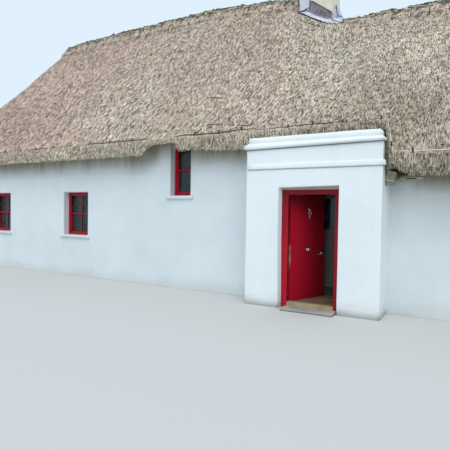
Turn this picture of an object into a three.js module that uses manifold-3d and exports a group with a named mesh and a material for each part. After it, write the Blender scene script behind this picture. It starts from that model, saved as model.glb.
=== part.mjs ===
// Thatched cottage with a flat-roofed entrance porch, in millimetres, +Z up.
// X runs along the front from left to right, Y from the front to the back.
// The tall section stands left of the porch's right corner and the low section right of it.
import * as THREE from 'three';
import { mergeVertices } from 'three/addons/utils/BufferGeometryUtils.js';
import Module from 'manifold-3d';

const wasm = await Module();
wasm.setup();

// Fitting gap between pieces that touch, and running gap at the hinges.
const seatGap = 0.4;
const runningGap = 0.5;

// Porch: its front face is Y = 0 and its right side is X = 0.
const porchWidth = 2330;
const porchDepth = 600;
const porchWallThickness = 280;
const porchWallTop = 2715;
const stringBottom = 2370;
const stringTop = 2460;
const stringProjection = 30;
const stringReturnRight = 140;
const corniceTop = 2820;
const corniceProjection = 55;
const copingTop = 2930;
const copingInset = 5;
const copingChamfer = 35;

// Front doorway through the porch wall.
const doorwayLeft = -1655;
const doorwayRight = -669;
const doorwayHead = 2050;
const frameFront = 120;
const frameStopDepth = 36;
const frameBack = 205;
const frameStopWidth = 85;
const frameRebateWidth = 58;
const stopHeadBottom = 1935;
const rebateHeadBottom = 1955;

// Front door leaf, hung at its left edge and opening inwards.
const hingeRadius = 9;
const hingeHeight = 90;
const hingeSides = 12;
const hingePlateLap = 15;
const hingePlateDepth = 8;
const tongueThickness = 14;
const tongueLap = 10;
const frontAxisX = -1595;
const frontAxisY = 212;
const frontOpenAngle = 67;
const leafEdgeOffset = 12;
const leafWidth = 848;
const leafThickness = 44;
const leafBottom = 108;
const leafTop = 1945;
const leafFaceOffset = 5;
const frontHingeHeights = [330, 1030, 1730];
const knocker = {
  along: 460, top: 1682, bottom: 1550,
  boss: { halfWidth: 22, height: 50, depth: 10 },
  arm: { halfWidth: 12, near: 8, far: 24, topInset: 16, bottomInset: 12 },
  hammer: { halfWidth: 18, height: 30, near: 4, far: 28 },
  anvil: { halfWidth: 14, depth: 5, inset: 2 },
};
const knob = {
  along: 440, height: 974, sides: 20,
  profile: [[0, 0], [38, 0], [38, 6], [15, 12], [15, 30], [34, 42], [36, 54], [24, 66], [0, 70]],
};
const lever = {
  along: 800, height: 885, halfHeight: 9,
  plate: { halfWidth: 22, below: 85, above: 45, depth: 8 },
  spindle: { halfWidth: 9, near: 4, far: 50 },
  grip: { length: 125, near: 36, far: 52 },
};

// Floors, step and thresholds.
const stepProjection = 80;
const stepTop = 45;
const stepSideMargin = 15;
const lobbyFloorTop = 100;
const roomFloorTop = 220;
const innerThresholdTop = 235;

// Main walls.
const wallFront = porchDepth;
const wallThickness = 600;
const wallBack = 6400;
const wallLeft = -12400;
const wallRight = 4600;
const wallStockTop = 4600;

// Inner doorway through the main wall, behind the front door.
const innerLeft = -1660;
const innerRight = -660;
const innerHead = 2050;
const innerFrameFront = 1090;
const innerFrameBack = 1190;
const innerFrameWidth = 55;
const innerStopWidth = 72;
const innerStopDepth = 46;
const innerLeafThickness = 40;
const innerLeafBottom = 243;
const innerLeafTop = 1985;
const innerStile = 95;
const innerGlassBottom = 1335;
const innerGlassTop = 1900;
const innerRailCentre = 790;
const innerRailHeight = 110;
const innerPanelRecess = 12;
const innerLeafClearance = 8;
const innerStopOverlap = 12;
const innerAxisInset = 2;
const innerAxisBehind = 7;
const innerHingeHeights = [420, 1120, 1800];

// Windows: left and right edge, sill and head of each opening.
const frontWindows = [
  { name: 'left_far', left: -10800, right: -9950, sill: 1000, head: 2050 },
  { name: 'left_near', left: -7800, right: -6950, sill: 1000, head: 2050 },
  { name: 'high', left: -4470, right: -3950, sill: 1950, head: 3050 },
  { name: 'right', left: 2250, right: 3100, sill: 950, head: 2000 },
];
const backWindows = [
  { name: 'back_left', left: -10800, right: -9950, sill: 1000, head: 2050 },
  { name: 'back_middle', left: -6400, right: -5550, sill: 1000, head: 2050 },
  { name: 'back_right', left: 1500, right: 2350, sill: 950, head: 2000 },
];
const windowReveal = 160;
const windowFrameDepth = 60;
const windowFrameWidth = 75;
const meetingRail = 45;
const glassThickness = 6;
const glassLap = 30;
const sillProjection = 60;
const sillHeight = 70;
const sillOverhang = 80;
const sillRoot = 20;
const cutMargin = 10;

// Thatch: heights of the eave rod and of the ridge, and the outline in plan.
const eaveFront = 150;
const rodFront = 200;
const ridgeY = 3500;
const eaveLeft = -12850;
const eaveRight = 5050;
const hipRun = 1850;
const rodHeightTall = 3100;
const rodHeightLow = 2570;
const eaveBottomTall = 2800;
const eaveBottomLow = 2240;
const eaveRounding = 60;
const ridgeLow = 6110;
const thatchDepth = 490;
const hipDepth = 740;
const hipApexSetback = 12;
const hipEaveRise = 35;
const tallRidgeLine = [
  [-11000, 7040], [-10500, 7090], [-9100, 7125], [-5400, 7125],
  [-4450, 7050], [-3300, 6930], [-2750, 6860],
];
const windowNotch = { left: -4690, right: -4060, bottom: 3000, leftSlope: 240, rightSlope: 110 };
const notchBackRise = 140;
const innerEaveShare = 0.3;
const ridgeHalfWidth = 320;
const ridgeThickness = 60;
const ridgeStock = 150;

// The ridge steps down under the chimney, and the eave steps down at the porch's right corner.
// Each step fades out over the height of the roof.
const ridgeStep = { left: -2750, right: -1790 };
const eaveStep = { leftAtEave: 0, rightAtEave: 120, leftAtRidge: -500, rightAtRidge: 550 };

// Chimney.
const stackLeft = -2370;
const stackRight = -1830;
const stackFront = 3170;
const stackBack = 3710;
const breastLeft = -2760;
const breastRight = -1740;
const breastFront = 2950;
const breastBack = 3930;
const breastTop = 4650;
const stackTop = 7850;
const capThickness = 110;
const capProjection = 50;
const pot = {
  height: 430, footRadius: 150, footHeight: 60, shoulder: 110, neckRadius: 115, wall: 22, sides: 20,
};
const potRim = { radius: 135, height: 60, slope: 10 };
const skirtLeft = -2700;
const skirtRight = -1600;
const skirtFront = 2960;
const skirtBack = 3920;
const skirtThickness = 30;
const upstandThickness = 22;
const upstandTopLeft = 6650;
const upstandTopRight = 6280;
const upstandFoot = 5600;
const upstandReach = 900;
const skirtStock = 180;

// Fittings under the right-hand eave.
const floodLamp = { left: 12, right: 147, front: 190, back: 330, bottom: 2130, top: 2290 };
const lampClearance = 6;
const bracket = {
  thickness: 8, plateWidth: 120, plateHalfHeight: 60, armSetback: 40, armWidth: 60, armThickness: 9.6,
};
const eaveLamp = { left: 165, right: 492, bottom: 2188, top: 2248, depth: 80 };

const paint = {
  plaster: { color: 0xe6eef3, roughness: 0.9, metalness: 0 },
  thatch: { color: 0xa89a86, roughness: 1, metalness: 0 },
  ridge: { color: 0x8d8170, roughness: 1, metalness: 0 },
  concrete: { color: 0xa3a096, roughness: 0.95, metalness: 0 },
  floor: { color: 0x9b8258, roughness: 0.85, metalness: 0 },
  crimson: { color: 0x9e0f22, roughness: 0.45, metalness: 0 },
  greyGreen: { color: 0x5c625c, roughness: 0.6, metalness: 0 },
  glass: { color: 0x1c2426, roughness: 0.1, metalness: 0 },
  nickel: { color: 0xc9c4bb, roughness: 0.3, metalness: 1 },
  render: { color: 0xe4dcc6, roughness: 0.95, metalness: 0 },
  lead: { color: 0xb9c2cc, roughness: 0.55, metalness: 0.6 },
  clay: { color: 0xa9613c, roughness: 0.9, metalness: 0 },
  lampGrey: { color: 0x9aa09f, roughness: 0.5, metalness: 0.3 },
};

const building = new THREE.Group();

// Solids from geometry and back again.
function solid(geometry) {
  const bare = geometry.clone();
  bare.deleteAttribute('normal');
  bare.deleteAttribute('uv');
  const merged = mergeVertices(bare, 1e-3);
  return new wasm.Manifold(new wasm.Mesh({
    numProp: 3,
    vertProperties: new Float32Array(merged.attributes.position.array),
    triVerts: new Uint32Array(merged.index.array),
  }));
}

function toGeometry(manifold) {
  const mesh = manifold.getMesh();
  const geometry = new THREE.BufferGeometry();
  geometry.setAttribute('position', new THREE.BufferAttribute(new Float32Array(mesh.vertProperties), 3));
  geometry.setIndex(new THREE.BufferAttribute(new Uint32Array(mesh.triVerts), 1));
  return geometry;
}

function addPiece(name, shape, finish, parent = building) {
  const geometry = shape.isBufferGeometry ? shape : toGeometry(shape);
  geometry.computeVertexNormals();
  const mesh = new THREE.Mesh(geometry, new THREE.MeshStandardMaterial(paint[finish]));
  mesh.name = name;
  parent.add(mesh);
  return mesh;
}

function block(x0, x1, y0, y1, z0, z1) {
  const geometry = new THREE.BoxGeometry(x1 - x0, y1 - y0, z1 - z0);
  geometry.translate((x0 + x1) / 2, (y0 + y1) / 2, (z0 + z1) / 2);
  return geometry;
}

const blockSolid = (...sides) => solid(block(...sides));

function join(list) {
  return list.reduce((total, item) => total.add(item));
}

// A plan outline raised from one height to another.
function raised(outline, bottom, top) {
  const shape = new THREE.Shape(outline.map(([x, y]) => new THREE.Vector2(x, y)));
  const geometry = new THREE.ExtrudeGeometry(shape, { depth: top - bottom, bevelEnabled: false });
  geometry.translate(0, 0, bottom);
  return geometry;
}

// An X and Z outline drawn out along Y.
function drawnBack(outline, front, back) {
  const shape = new THREE.Shape(outline.map(([x, z]) => new THREE.Vector2(x, z)));
  const geometry = new THREE.ExtrudeGeometry(shape, { depth: back - front, bevelEnabled: false });
  geometry.rotateX(Math.PI / 2);
  geometry.translate(0, back, 0);
  return geometry;
}

// A closed slab between an upper and a lower grid of points with the same rows and columns.
function gridSlab(upper, lower) {
  const rows = upper.length;
  const columns = upper[0].length;
  const last = rows - 1;
  const end = columns - 1;
  const positions = [...upper.flat(), ...lower.flat()].flat();
  const top = (row, column) => row * columns + column;
  const bottom = (row, column) => rows * columns + top(row, column);
  const index = [];
  const quad = (a, b, c, d) => index.push(a, b, c, a, c, d);
  for (let row = 0; row < last; row += 1) {
    for (let column = 0; column < end; column += 1) {
      quad(top(row, column), top(row, column + 1), top(row + 1, column + 1), top(row + 1, column));
      quad(
        bottom(row, column), bottom(row + 1, column), bottom(row + 1, column + 1), bottom(row, column + 1));
    }
  }
  for (let column = 0; column < end; column += 1) {
    quad(bottom(0, column), bottom(0, column + 1), top(0, column + 1), top(0, column));
    quad(top(last, column), top(last, column + 1), bottom(last, column + 1), bottom(last, column));
  }
  for (let row = 0; row < last; row += 1) {
    quad(top(row, 0), top(row + 1, 0), bottom(row + 1, 0), bottom(row, 0));
    quad(bottom(row, end), bottom(row + 1, end), top(row + 1, end), top(row, end));
  }
  const geometry = new THREE.BufferGeometry();
  geometry.setAttribute('position', new THREE.Float32BufferAttribute(positions, 3));
  geometry.setIndex(index);
  return geometry;
}

// Roof surface. Rows climb from the eave to the ridge, columns follow the front from left to right.
const mix = (a, b, share) => a + (b - a) * share;
const smooth = (share) => share * share * (3 - 2 * share);
const clampShare = (share) => Math.min(1, Math.max(0, share));
const climb = (y) => (y - rodFront) / (ridgeY - rodFront);
const hipShare = (y) => (y - eaveFront) / (ridgeY - eaveFront);

function tallRidge(x) {
  const last = tallRidgeLine.length - 1;
  if (x <= tallRidgeLine[0][0]) return tallRidgeLine[0][1];
  if (x >= tallRidgeLine[last][0]) return tallRidgeLine[last][1];
  const next = tallRidgeLine.findIndex(([along]) => along > x);
  const [x0, z0] = tallRidgeLine[next - 1];
  const [x1, z1] = tallRidgeLine[next];
  return mix(z0, z1, (x - x0) / (x1 - x0));
}

function eaveStepSpan(share) {
  const up = clampShare(share);
  return [
    mix(eaveStep.leftAtEave, eaveStep.leftAtRidge, up),
    mix(eaveStep.rightAtEave, eaveStep.rightAtRidge, up),
  ];
}

const stepShare = (x, left, right) => smooth(clampShare((x - left) / (right - left)));
const lowShare = (x, share) => stepShare(x, ...eaveStepSpan(share));

function thatchTop(x, y) {
  const share = climb(y);
  const ridge = mix(tallRidge(x), ridgeLow, stepShare(x, ridgeStep.left, ridgeStep.right));
  const rod = mix(rodHeightTall, rodHeightLow, lowShare(x, share));
  return mix(rod, ridge, share) - (y < rodFront ? eaveRounding : 0);
}

function eaveBottom(x) {
  return mix(eaveBottomTall, eaveBottomLow, lowShare(x, 0));
}

const notchShoulders = [
  windowNotch.left - windowNotch.leftSlope, windowNotch.left,
  windowNotch.right, windowNotch.right + windowNotch.rightSlope,
];
const inNotch = (x) => x >= windowNotch.left && x <= windowNotch.right;

const rowTops = [eaveFront, rodFront, 600, 1200, 2000, 2700, ridgeY - ridgeHalfWidth, ridgeY - seatGap];
const rowBottoms = [eaveFront + 20, 300, 600, 1200, 2000, 2700, ridgeY - ridgeHalfWidth, ridgeY - seatGap];
const stepShares = [0, 0.25, 0.5, 0.75, 1];
const columnsX = [
  (y) => mix(eaveLeft, eaveLeft + hipRun, hipShare(y)),
  ...[-10500, -9100, -7300, -5400, ...notchShoulders, -3300].map((x) => () => x),
  ...stepShares.map((share) => () => mix(ridgeStep.left, ridgeStep.right, share)),
  ...stepShares.map((share) => (y) => mix(...eaveStepSpan(climb(y)), share)),
  ...[1400, 2750].map((x) => () => x),
  (y) => mix(eaveRight, eaveRight - hipRun, hipShare(y)),
];

function undersideHeight(x, y, row, hasNotch) {
  if (row === 0) return hasNotch && inNotch(x) ? windowNotch.bottom : eaveBottom(x);
  const level = thatchTop(x, y) - thatchDepth;
  if (row > 1) return level;
  const notchRise = hasNotch && inNotch(x) ? notchBackRise : 0;
  return mix(eaveBottom(x), thatchTop(x, rowBottoms[2]) - thatchDepth, innerEaveShare) + notchRise;
}

// Grids of the long slope: the back one mirrors the front one about the ridge.
function slopeGrids(isBack) {
  const place = (x, y, z) => [x, isBack ? 2 * ridgeY - y : y, z];
  const hasNotch = !isBack;
  const upper = rowTops.map((y) => columnsX.map((column) => place(column(y), y, thatchTop(column(y), y))));
  const lower = rowBottoms.map((y, row) => columnsX.map((column) => (
    place(column(y), y, undersideHeight(column(y), y, row, hasNotch)))));
  return isBack ? [upper.map((row) => row.reverse()), lower.map((row) => row.reverse())] : [upper, lower];
}

// Grids of a hip: rows climb to the ridge's end, columns cross from the front to the back.
function hipGrids(isRight, outset) {
  const edge = isRight ? columnsX[columnsX.length - 1] : columnsX[0];
  const shift = isRight ? outset : -outset;
  const crossShares = [0, 0.25, 0.5, 0.75, 1];
  const line = (rows, height) => rows.map((y, row) => {
    const x = edge(y);
    const cross = crossShares.map((share) => [x + shift, mix(y, 2 * ridgeY - y, share), height(x, y, row)]);
    return isRight ? cross : cross.reverse();
  });
  const apexRow = (rows) => rows.map((y) => Math.min(y, ridgeY - hipApexSetback));
  const bottomHeight = (x, y, row) => (
    row < 2 ? eaveBottom(x) + row * hipEaveRise : thatchTop(x, y) - hipDepth + (row === 2 ? hipEaveRise : 0));
  return [line(apexRow(rowTops), thatchTop), line(apexRow(rowBottoms), bottomHeight)];
}

// Each hip stands off the long slopes by a fitting gap along the hip line.
const hipOutset = 1.5 * seatGap;
const hipOverlap = -1;
const panelGrids = {
  thatch_front_slope: slopeGrids(false),
  thatch_back_slope: slopeGrids(true),
  thatch_left_hip: hipGrids(false, hipOutset),
  thatch_right_hip: hipGrids(true, hipOutset),
};
const hipFillers = [hipGrids(false, hipOverlap), hipGrids(true, hipOverlap)];

const lift = (grid, rise) => grid.map((row) => row.map(([x, y, z]) => [x, y, z + rise]));
const flatten = (grid, level) => grid.map((row) => row.map(([x, y]) => [x, y, level]));

// Everything under the thatch trims the walls, and everything under its top trims what lies on it.
const slopePanels = [panelGrids.thatch_front_slope, panelGrids.thatch_back_slope];
const underThatch = join([...slopePanels, ...hipFillers].map(([, lower]) => (
  solid(gridSlab(lift(lower, -seatGap), flatten(lower, -cutMargin))))));
const fillerRise = 3;
const coreUppers = [
  ...Object.values(panelGrids).map(([upper]) => lift(upper, 2 * seatGap)),
  ...hipFillers.map(([upper]) => lift(upper, 2 * seatGap + fillerRise)),
];
const coreFoot = 1000;
const coreSeam = 2;
const roofCore = join(coreUppers.map((upper) => solid(gridSlab(upper, flatten(upper, coreFoot)))))
  .add(blockSolid(
    eaveLeft + hipRun, eaveRight - hipRun, ridgeY - coreSeam, ridgeY + coreSeam,
    coreFoot, ridgeLow - coreSeam));

const stackHole = blockSolid(
  stackLeft - seatGap, stackRight + seatGap, stackFront - seatGap, stackBack + seatGap, breastTop, stackTop);

// Walls.
function windowCut(window, isBack) {
  const front = (isBack ? wallBack - wallThickness : wallFront) - cutMargin;
  const back = front + wallThickness + 2 * cutMargin;
  return blockSolid(window.left, window.right, front, back, window.sill, window.head);
}

function windowSill(window, isBack) {
  const [front, back] = isBack
    ? [wallBack - sillRoot, wallBack + sillProjection]
    : [wallFront - sillProjection, wallFront + sillRoot];
  return blockSolid(
    window.left - sillOverhang, window.right + sillOverhang,
    front, back, window.sill - sillHeight, window.sill);
}

function longWall(left, right, bottom, windows, isBack) {
  const front = isBack ? wallBack - wallThickness : wallFront;
  const mass = blockSolid(left, right, front, front + wallThickness, bottom, wallStockTop);
  const trimmed = join([mass, ...windows.map((item) => windowSill(item, isBack))]).intersect(underThatch);
  return windows.reduce((wall, item) => wall.subtract(windowCut(item, isBack)), trimmed);
}

const leftWindows = frontWindows.filter((item) => item.right < innerLeft);
const rightWindows = frontWindows.filter((item) => item.left > innerRight);
const wallInsideFront = wallFront + wallThickness;
const wallInsideBack = wallBack - wallThickness;

addPiece('front_wall_left', longWall(wallLeft, innerLeft, 0, leftWindows, false), 'plaster');
addPiece('front_wall_over_doorway', longWall(
  innerLeft + seatGap, innerRight - seatGap, innerHead, [], false), 'plaster');
addPiece('front_wall_right', longWall(innerRight, wallRight, 0, rightWindows, false), 'plaster');
addPiece('back_wall', longWall(wallLeft, wallRight, 0, backWindows, true), 'plaster');
const endWallFront = wallInsideFront + seatGap;
const endWallBack = wallInsideBack - seatGap;
const endWall = (left) => blockSolid(
  left, left + wallThickness, endWallFront, endWallBack, 0, wallStockTop).intersect(underThatch);
addPiece('left_end_wall', endWall(wallLeft), 'plaster');
addPiece('right_end_wall', endWall(wallRight - wallThickness), 'plaster');

// Floors.
addPiece('room_floor', block(
  wallLeft + wallThickness + seatGap, wallRight - wallThickness - seatGap,
  endWallFront, endWallBack, 0, roomFloorTop), 'concrete');
const lobbyLeft = -porchWidth + porchWallThickness;
const lobbyRight = -porchWallThickness;
addPiece('lobby_floor', raised([
  [lobbyLeft + seatGap, porchWallThickness + seatGap], [doorwayLeft + seatGap, porchWallThickness + seatGap],
  [doorwayLeft + seatGap, frameBack + seatGap], [doorwayRight - seatGap, frameBack + seatGap],
  [doorwayRight - seatGap, porchWallThickness + seatGap], [lobbyRight - seatGap, porchWallThickness + seatGap],
  [lobbyRight - seatGap, wallFront - seatGap], [innerRight - seatGap, wallFront - seatGap],
  [innerRight - seatGap, wallInsideFront], [innerLeft + seatGap, wallInsideFront],
  [innerLeft + seatGap, wallFront - seatGap], [lobbyLeft + seatGap, wallFront - seatGap],
], 0, lobbyFloorTop), 'floor');

// Porch walls: two angled side pieces and the piece over the doorway.
addPiece('porch_wall_left', raised([
  [-porchWidth, 0], [doorwayLeft, 0], [doorwayLeft, porchWallThickness],
  [lobbyLeft, porchWallThickness], [lobbyLeft, wallFront - seatGap], [-porchWidth, wallFront - seatGap],
], 0, porchWallTop), 'plaster');
addPiece('porch_wall_right', raised([
  [doorwayRight, 0], [0, 0], [0, wallFront - seatGap],
  [lobbyRight, wallFront - seatGap], [lobbyRight, porchWallThickness], [doorwayRight, porchWallThickness],
], 0, porchWallTop), 'plaster');
addPiece('porch_wall_over_door', block(
  doorwayLeft + seatGap, doorwayRight - seatGap, 0, porchWallThickness, doorwayHead, porchWallTop), 'plaster');

const stringOuter = seatGap + stringProjection;
addPiece('porch_string_course', raised([
  [-porchWidth - stringOuter, -stringOuter], [stringOuter, -stringOuter], [stringOuter, stringReturnRight],
  [seatGap, stringReturnRight], [seatGap, -seatGap], [-porchWidth - seatGap, -seatGap],
  [-porchWidth - seatGap, wallFront - seatGap], [-porchWidth - stringOuter, wallFront - seatGap],
], stringBottom, stringTop), 'plaster');
addPiece('porch_cornice', block(
  -porchWidth - corniceProjection, corniceProjection, -corniceProjection, wallFront - seatGap,
  porchWallTop + seatGap, corniceTop), 'plaster');
const copingLeft = -porchWidth - copingInset;
addPiece('porch_coping', drawnBack([
  [copingLeft, corniceTop + seatGap], [copingInset, corniceTop + seatGap],
  [copingInset, copingTop - copingChamfer], [copingInset - copingChamfer, copingTop],
  [copingLeft + copingChamfer, copingTop], [copingLeft, copingTop - copingChamfer],
], -copingInset, wallFront - seatGap), 'plaster');

// Step, threshold and door frame.
addPiece('doorstep', block(
  doorwayLeft + stepSideMargin, doorwayRight - stepSideMargin,
  -stepProjection, frameFront - seatGap, 0, stepTop), 'concrete');
addPiece('door_threshold', block(
  doorwayLeft + frameStopWidth + seatGap, doorwayRight - frameStopWidth - seatGap, frameFront, frameBack,
  0, lobbyFloorTop), 'floor');

// An upside-down U of two posts and a head, from the ground up.
function portal(left, right, head, side, headBottom, front, back, bottom) {
  return solid(drawnBack([
    [left, bottom], [left + side, bottom], [left + side, headBottom], [right - side, headBottom],
    [right - side, bottom], [right, bottom], [right, head], [left, head],
  ], front, back));
}

function hingeBarrels(heights, x, y, plateLeft, plateFront) {
  return heights.flatMap((height) => {
    const barrel = new THREE.CylinderGeometry(hingeRadius, hingeRadius, hingeHeight, hingeSides);
    barrel.rotateX(Math.PI / 2);
    barrel.translate(x, y, height);
    const low = height - hingeHeight / 2;
    return [solid(barrel), blockSolid(plateLeft, x, plateFront, y, low, low + hingeHeight)];
  });
}

const doorFrameTop = doorwayHead - seatGap;
addPiece('door_frame', join([
  portal(doorwayLeft + seatGap, doorwayRight - seatGap, doorFrameTop, frameStopWidth, stopHeadBottom,
    frameFront, frameFront + frameStopDepth, 0),
  portal(doorwayLeft + seatGap, doorwayRight - seatGap, doorFrameTop, frameRebateWidth, rebateHeadBottom,
    frameFront + frameStopDepth - 1, frameBack, lobbyFloorTop + seatGap),
  ...hingeBarrels(
    frontHingeHeights, frontAxisX, frontAxisY,
    doorwayLeft + frameRebateWidth - hingePlateLap, frameBack - hingePlateDepth),
]), 'crimson');

// Front door leaf and its fittings, drawn closed about the hinge axis and then swung open.
const frontDoor = new THREE.Group();
frontDoor.position.set(frontAxisX, frontAxisY, 0);
frontDoor.rotation.z = THREE.MathUtils.degToRad(frontOpenAngle);
building.add(frontDoor);
const leafOuter = -leafFaceOffset - leafThickness;

// Tongues from the leaf's edge reach to a running gap from the hinge barrels.
const tongueTip = Math.sqrt((hingeRadius + runningGap) ** 2 - leafFaceOffset ** 2);

function hingeTongues(heights, edge, innerFace) {
  return heights.map((height) => blockSolid(
    tongueTip, edge + tongueLap, innerFace - tongueThickness, innerFace,
    height - hingeHeight / 2, height + hingeHeight / 2));
}

addPiece('front_door_leaf', join([
  blockSolid(leafEdgeOffset, leafEdgeOffset + leafWidth, leafOuter, -leafFaceOffset, leafBottom, leafTop),
  ...hingeTongues(frontHingeHeights, leafEdgeOffset, -leafFaceOffset),
]), 'crimson', frontDoor);

// Fittings stand out from this face by the depths named for them.
const fittingFace = leafOuter - seatGap;
const fitting = (along, halfWidth, near, far, bottom, top) => (
  blockSolid(along - halfWidth, along + halfWidth, fittingFace - far, fittingFace - near, bottom, top));
const { boss, arm, hammer, anvil } = knocker;
addPiece('door_knocker', join([
  fitting(knocker.along, boss.halfWidth, 0, boss.depth, knocker.top - boss.height, knocker.top),
  fitting(knocker.along, arm.halfWidth, arm.near, arm.far,
    knocker.bottom + arm.bottomInset, knocker.top - arm.topInset),
  fitting(knocker.along, hammer.halfWidth, hammer.near, hammer.far,
    knocker.bottom, knocker.bottom + hammer.height),
  fitting(knocker.along, anvil.halfWidth, 0, anvil.depth,
    knocker.bottom + anvil.inset, knocker.bottom + hammer.height - anvil.inset),
]), 'nickel', frontDoor);

const knobShape = new THREE.LatheGeometry(
  knob.profile.map(([radius, out]) => new THREE.Vector2(radius, out)), knob.sides);
knobShape.rotateX(Math.PI);
knobShape.translate(knob.along, fittingFace, knob.height);
addPiece('door_knob', knobShape, 'nickel', frontDoor);

const { plate, spindle, grip } = lever;
addPiece('door_lever', join([
  fitting(lever.along, plate.halfWidth, 0, plate.depth, lever.height - plate.below, lever.height + plate.above),
  fitting(lever.along, spindle.halfWidth, spindle.near, spindle.far,
    lever.height - lever.halfHeight, lever.height + lever.halfHeight),
  blockSolid(lever.along - grip.length, lever.along + spindle.halfWidth,
    fittingFace - grip.far, fittingFace - grip.near,
    lever.height - lever.halfHeight, lever.height + lever.halfHeight),
]), 'nickel', frontDoor);

// Inner doorway: threshold, frame, and a half-glazed leaf that opens into the room.
const innerAxisX = innerLeft + innerFrameWidth + innerAxisInset;
const innerAxisY = innerFrameBack + innerAxisBehind;
addPiece('inner_door_threshold', block(
  innerLeft + innerStopWidth + 1, innerRight - innerStopWidth - 1, innerFrameFront, innerFrameBack,
  lobbyFloorTop + seatGap, innerThresholdTop), 'greyGreen');
const innerPortal = (side, headBottom, front, back) => portal(
  innerLeft + seatGap, innerRight - seatGap, innerHead - seatGap, side, headBottom,
  front, back, lobbyFloorTop + seatGap);
addPiece('inner_door_frame', join([
  innerPortal(innerStopWidth, innerLeafTop - innerStopOverlap,
    innerFrameFront, innerFrameFront + innerStopDepth),
  innerPortal(innerFrameWidth, innerLeafTop + innerLeafClearance,
    innerFrameFront + innerStopDepth - 1, innerFrameBack),
  ...hingeBarrels(
    innerHingeHeights, innerAxisX, innerAxisY,
    innerLeft + innerFrameWidth - hingePlateLap, innerFrameBack - hingePlateDepth),
]), 'greyGreen');

const innerDoor = new THREE.Group();
innerDoor.position.set(innerAxisX, innerAxisY, 0);
building.add(innerDoor);
const innerLeafEdge = leafEdgeOffset;
const innerLeafRight = innerRight - innerFrameWidth - innerLeafClearance - innerAxisX;
const innerLeafOuter = -leafFaceOffset - innerLeafThickness;
const lightLeft = innerLeafEdge + innerStile;
const lightRight = innerLeafRight - innerStile;
const panelFront = innerLeafOuter - 1;
const panelBack = innerLeafOuter + innerPanelRecess;
const railBottom = innerRailCentre - innerRailHeight / 2;
const railTop = innerRailCentre + innerRailHeight / 2;
addPiece('inner_door_leaf', join([
  blockSolid(innerLeafEdge, innerLeafRight, innerLeafOuter, -leafFaceOffset, innerLeafBottom, innerLeafTop),
  ...hingeTongues(innerHingeHeights, innerLeafEdge, -leafFaceOffset),
])
  .subtract(blockSolid(lightLeft, lightRight, panelFront, 0, innerGlassBottom, innerGlassTop))
  .subtract(blockSolid(lightLeft, lightRight, panelFront, panelBack, railTop, innerGlassBottom - innerStile))
  .subtract(blockSolid(lightLeft, lightRight, panelFront, panelBack, innerLeafBottom + innerStile, railBottom)),
'greyGreen', innerDoor);
const lightMiddle = innerLeafOuter + innerLeafThickness / 2;
addPiece('inner_door_glass', block(
  lightLeft + seatGap, lightRight - seatGap, lightMiddle - glassThickness / 2, lightMiddle + glassThickness / 2,
  innerGlassBottom + seatGap, innerGlassTop - seatGap), 'glass', innerDoor);

// Windows: a frame with a meeting rail, and the glass behind it.
function addWindow(window, isBack) {
  const depthSign = isBack ? -1 : 1;
  const face = (isBack ? wallBack : wallFront) + depthSign * windowReveal;
  const span = (from, to) => [face + depthSign * from, face + depthSign * to].sort((a, b) => a - b);
  const left = window.left + seatGap;
  const right = window.right - seatGap;
  const bottom = window.sill + seatGap;
  const top = window.head - seatGap;
  const middle = (bottom + top) / 2;
  const inner = [left + windowFrameWidth, right - windowFrameWidth];
  const light = (low, high) => blockSolid(...inner, ...span(-1, windowFrameDepth + 1), low, high);
  const frame = blockSolid(left, right, ...span(0, windowFrameDepth), bottom, top)
    .subtract(light(bottom + windowFrameWidth, middle - meetingRail / 2))
    .subtract(light(middle + meetingRail / 2, top - windowFrameWidth))
    .intersect(underThatch);
  addPiece(`window_${window.name}_frame`, frame, 'crimson');
  const glassFront = windowFrameDepth + seatGap;
  const pane = blockSolid(
    inner[0] - glassLap, inner[1] + glassLap, ...span(glassFront, glassFront + glassThickness),
    bottom + windowFrameWidth - glassLap, top - windowFrameWidth + glassLap);
  addPiece(`window_${window.name}_glass`, pane, 'glass');
}

frontWindows.forEach((item) => addWindow(item, false));
backWindows.forEach((item) => addWindow(item, true));

// Thatch: the front slope sits on the porch's flat roof and makes way for its corners and the flood lamp.
const porchRoofHole = blockSolid(
  -porchWidth - corniceProjection - seatGap, corniceProjection + seatGap, -porchDepth, wallFront,
  porchWallTop - cutMargin, copingTop + seatGap);
const porchSideHole = blockSolid(-porchWidth - cutMargin, cutMargin, -porchDepth, wallFront, 0, porchWallTop);
const panels = Object.fromEntries(Object.entries(panelGrids).map(([name, [upper, lower]]) => (
  [name, solid(gridSlab(upper, lower)).subtract(stackHole)])));
const lampHole = blockSolid(
  0, floodLamp.right + lampClearance, 0, floodLamp.back + lampClearance,
  floodLamp.bottom, floodLamp.top + lampClearance);
panels.thatch_front_slope = panels.thatch_front_slope
  .subtract(porchRoofHole).subtract(porchSideHole).subtract(lampHole);
Object.entries(panels).forEach(([name, panel]) => addPiece(name, panel, 'thatch'));

// Ridge capping, bent over the ridge and trimmed to the slopes under it.
function ridgeCap(stations) {
  const crossings = [-1, -0.5, 0, 0.5, 1];
  const height = (x, offset) => thatchTop(x, ridgeY - Math.abs(offset)) + ridgeThickness;
  const upper = crossings.map((share) => stations.map((x) => (
    [x, ridgeY + share * ridgeHalfWidth, height(x, share * ridgeHalfWidth)])));
  const cap = solid(gridSlab(upper, lift(upper, -ridgeStock)));
  return cap.subtract(roofCore);
}

const capOverrun = 90;
addPiece('ridge_cap_left', ridgeCap(
  [eaveLeft + hipRun - capOverrun, -10500, -9100, -7300, -5400, -4450, -3300, skirtLeft - seatGap]), 'ridge');
addPiece('ridge_cap_right', ridgeCap(
  [skirtRight + seatGap, -800, 1400, 2750, eaveRight - hipRun + capOverrun]), 'ridge');

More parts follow.
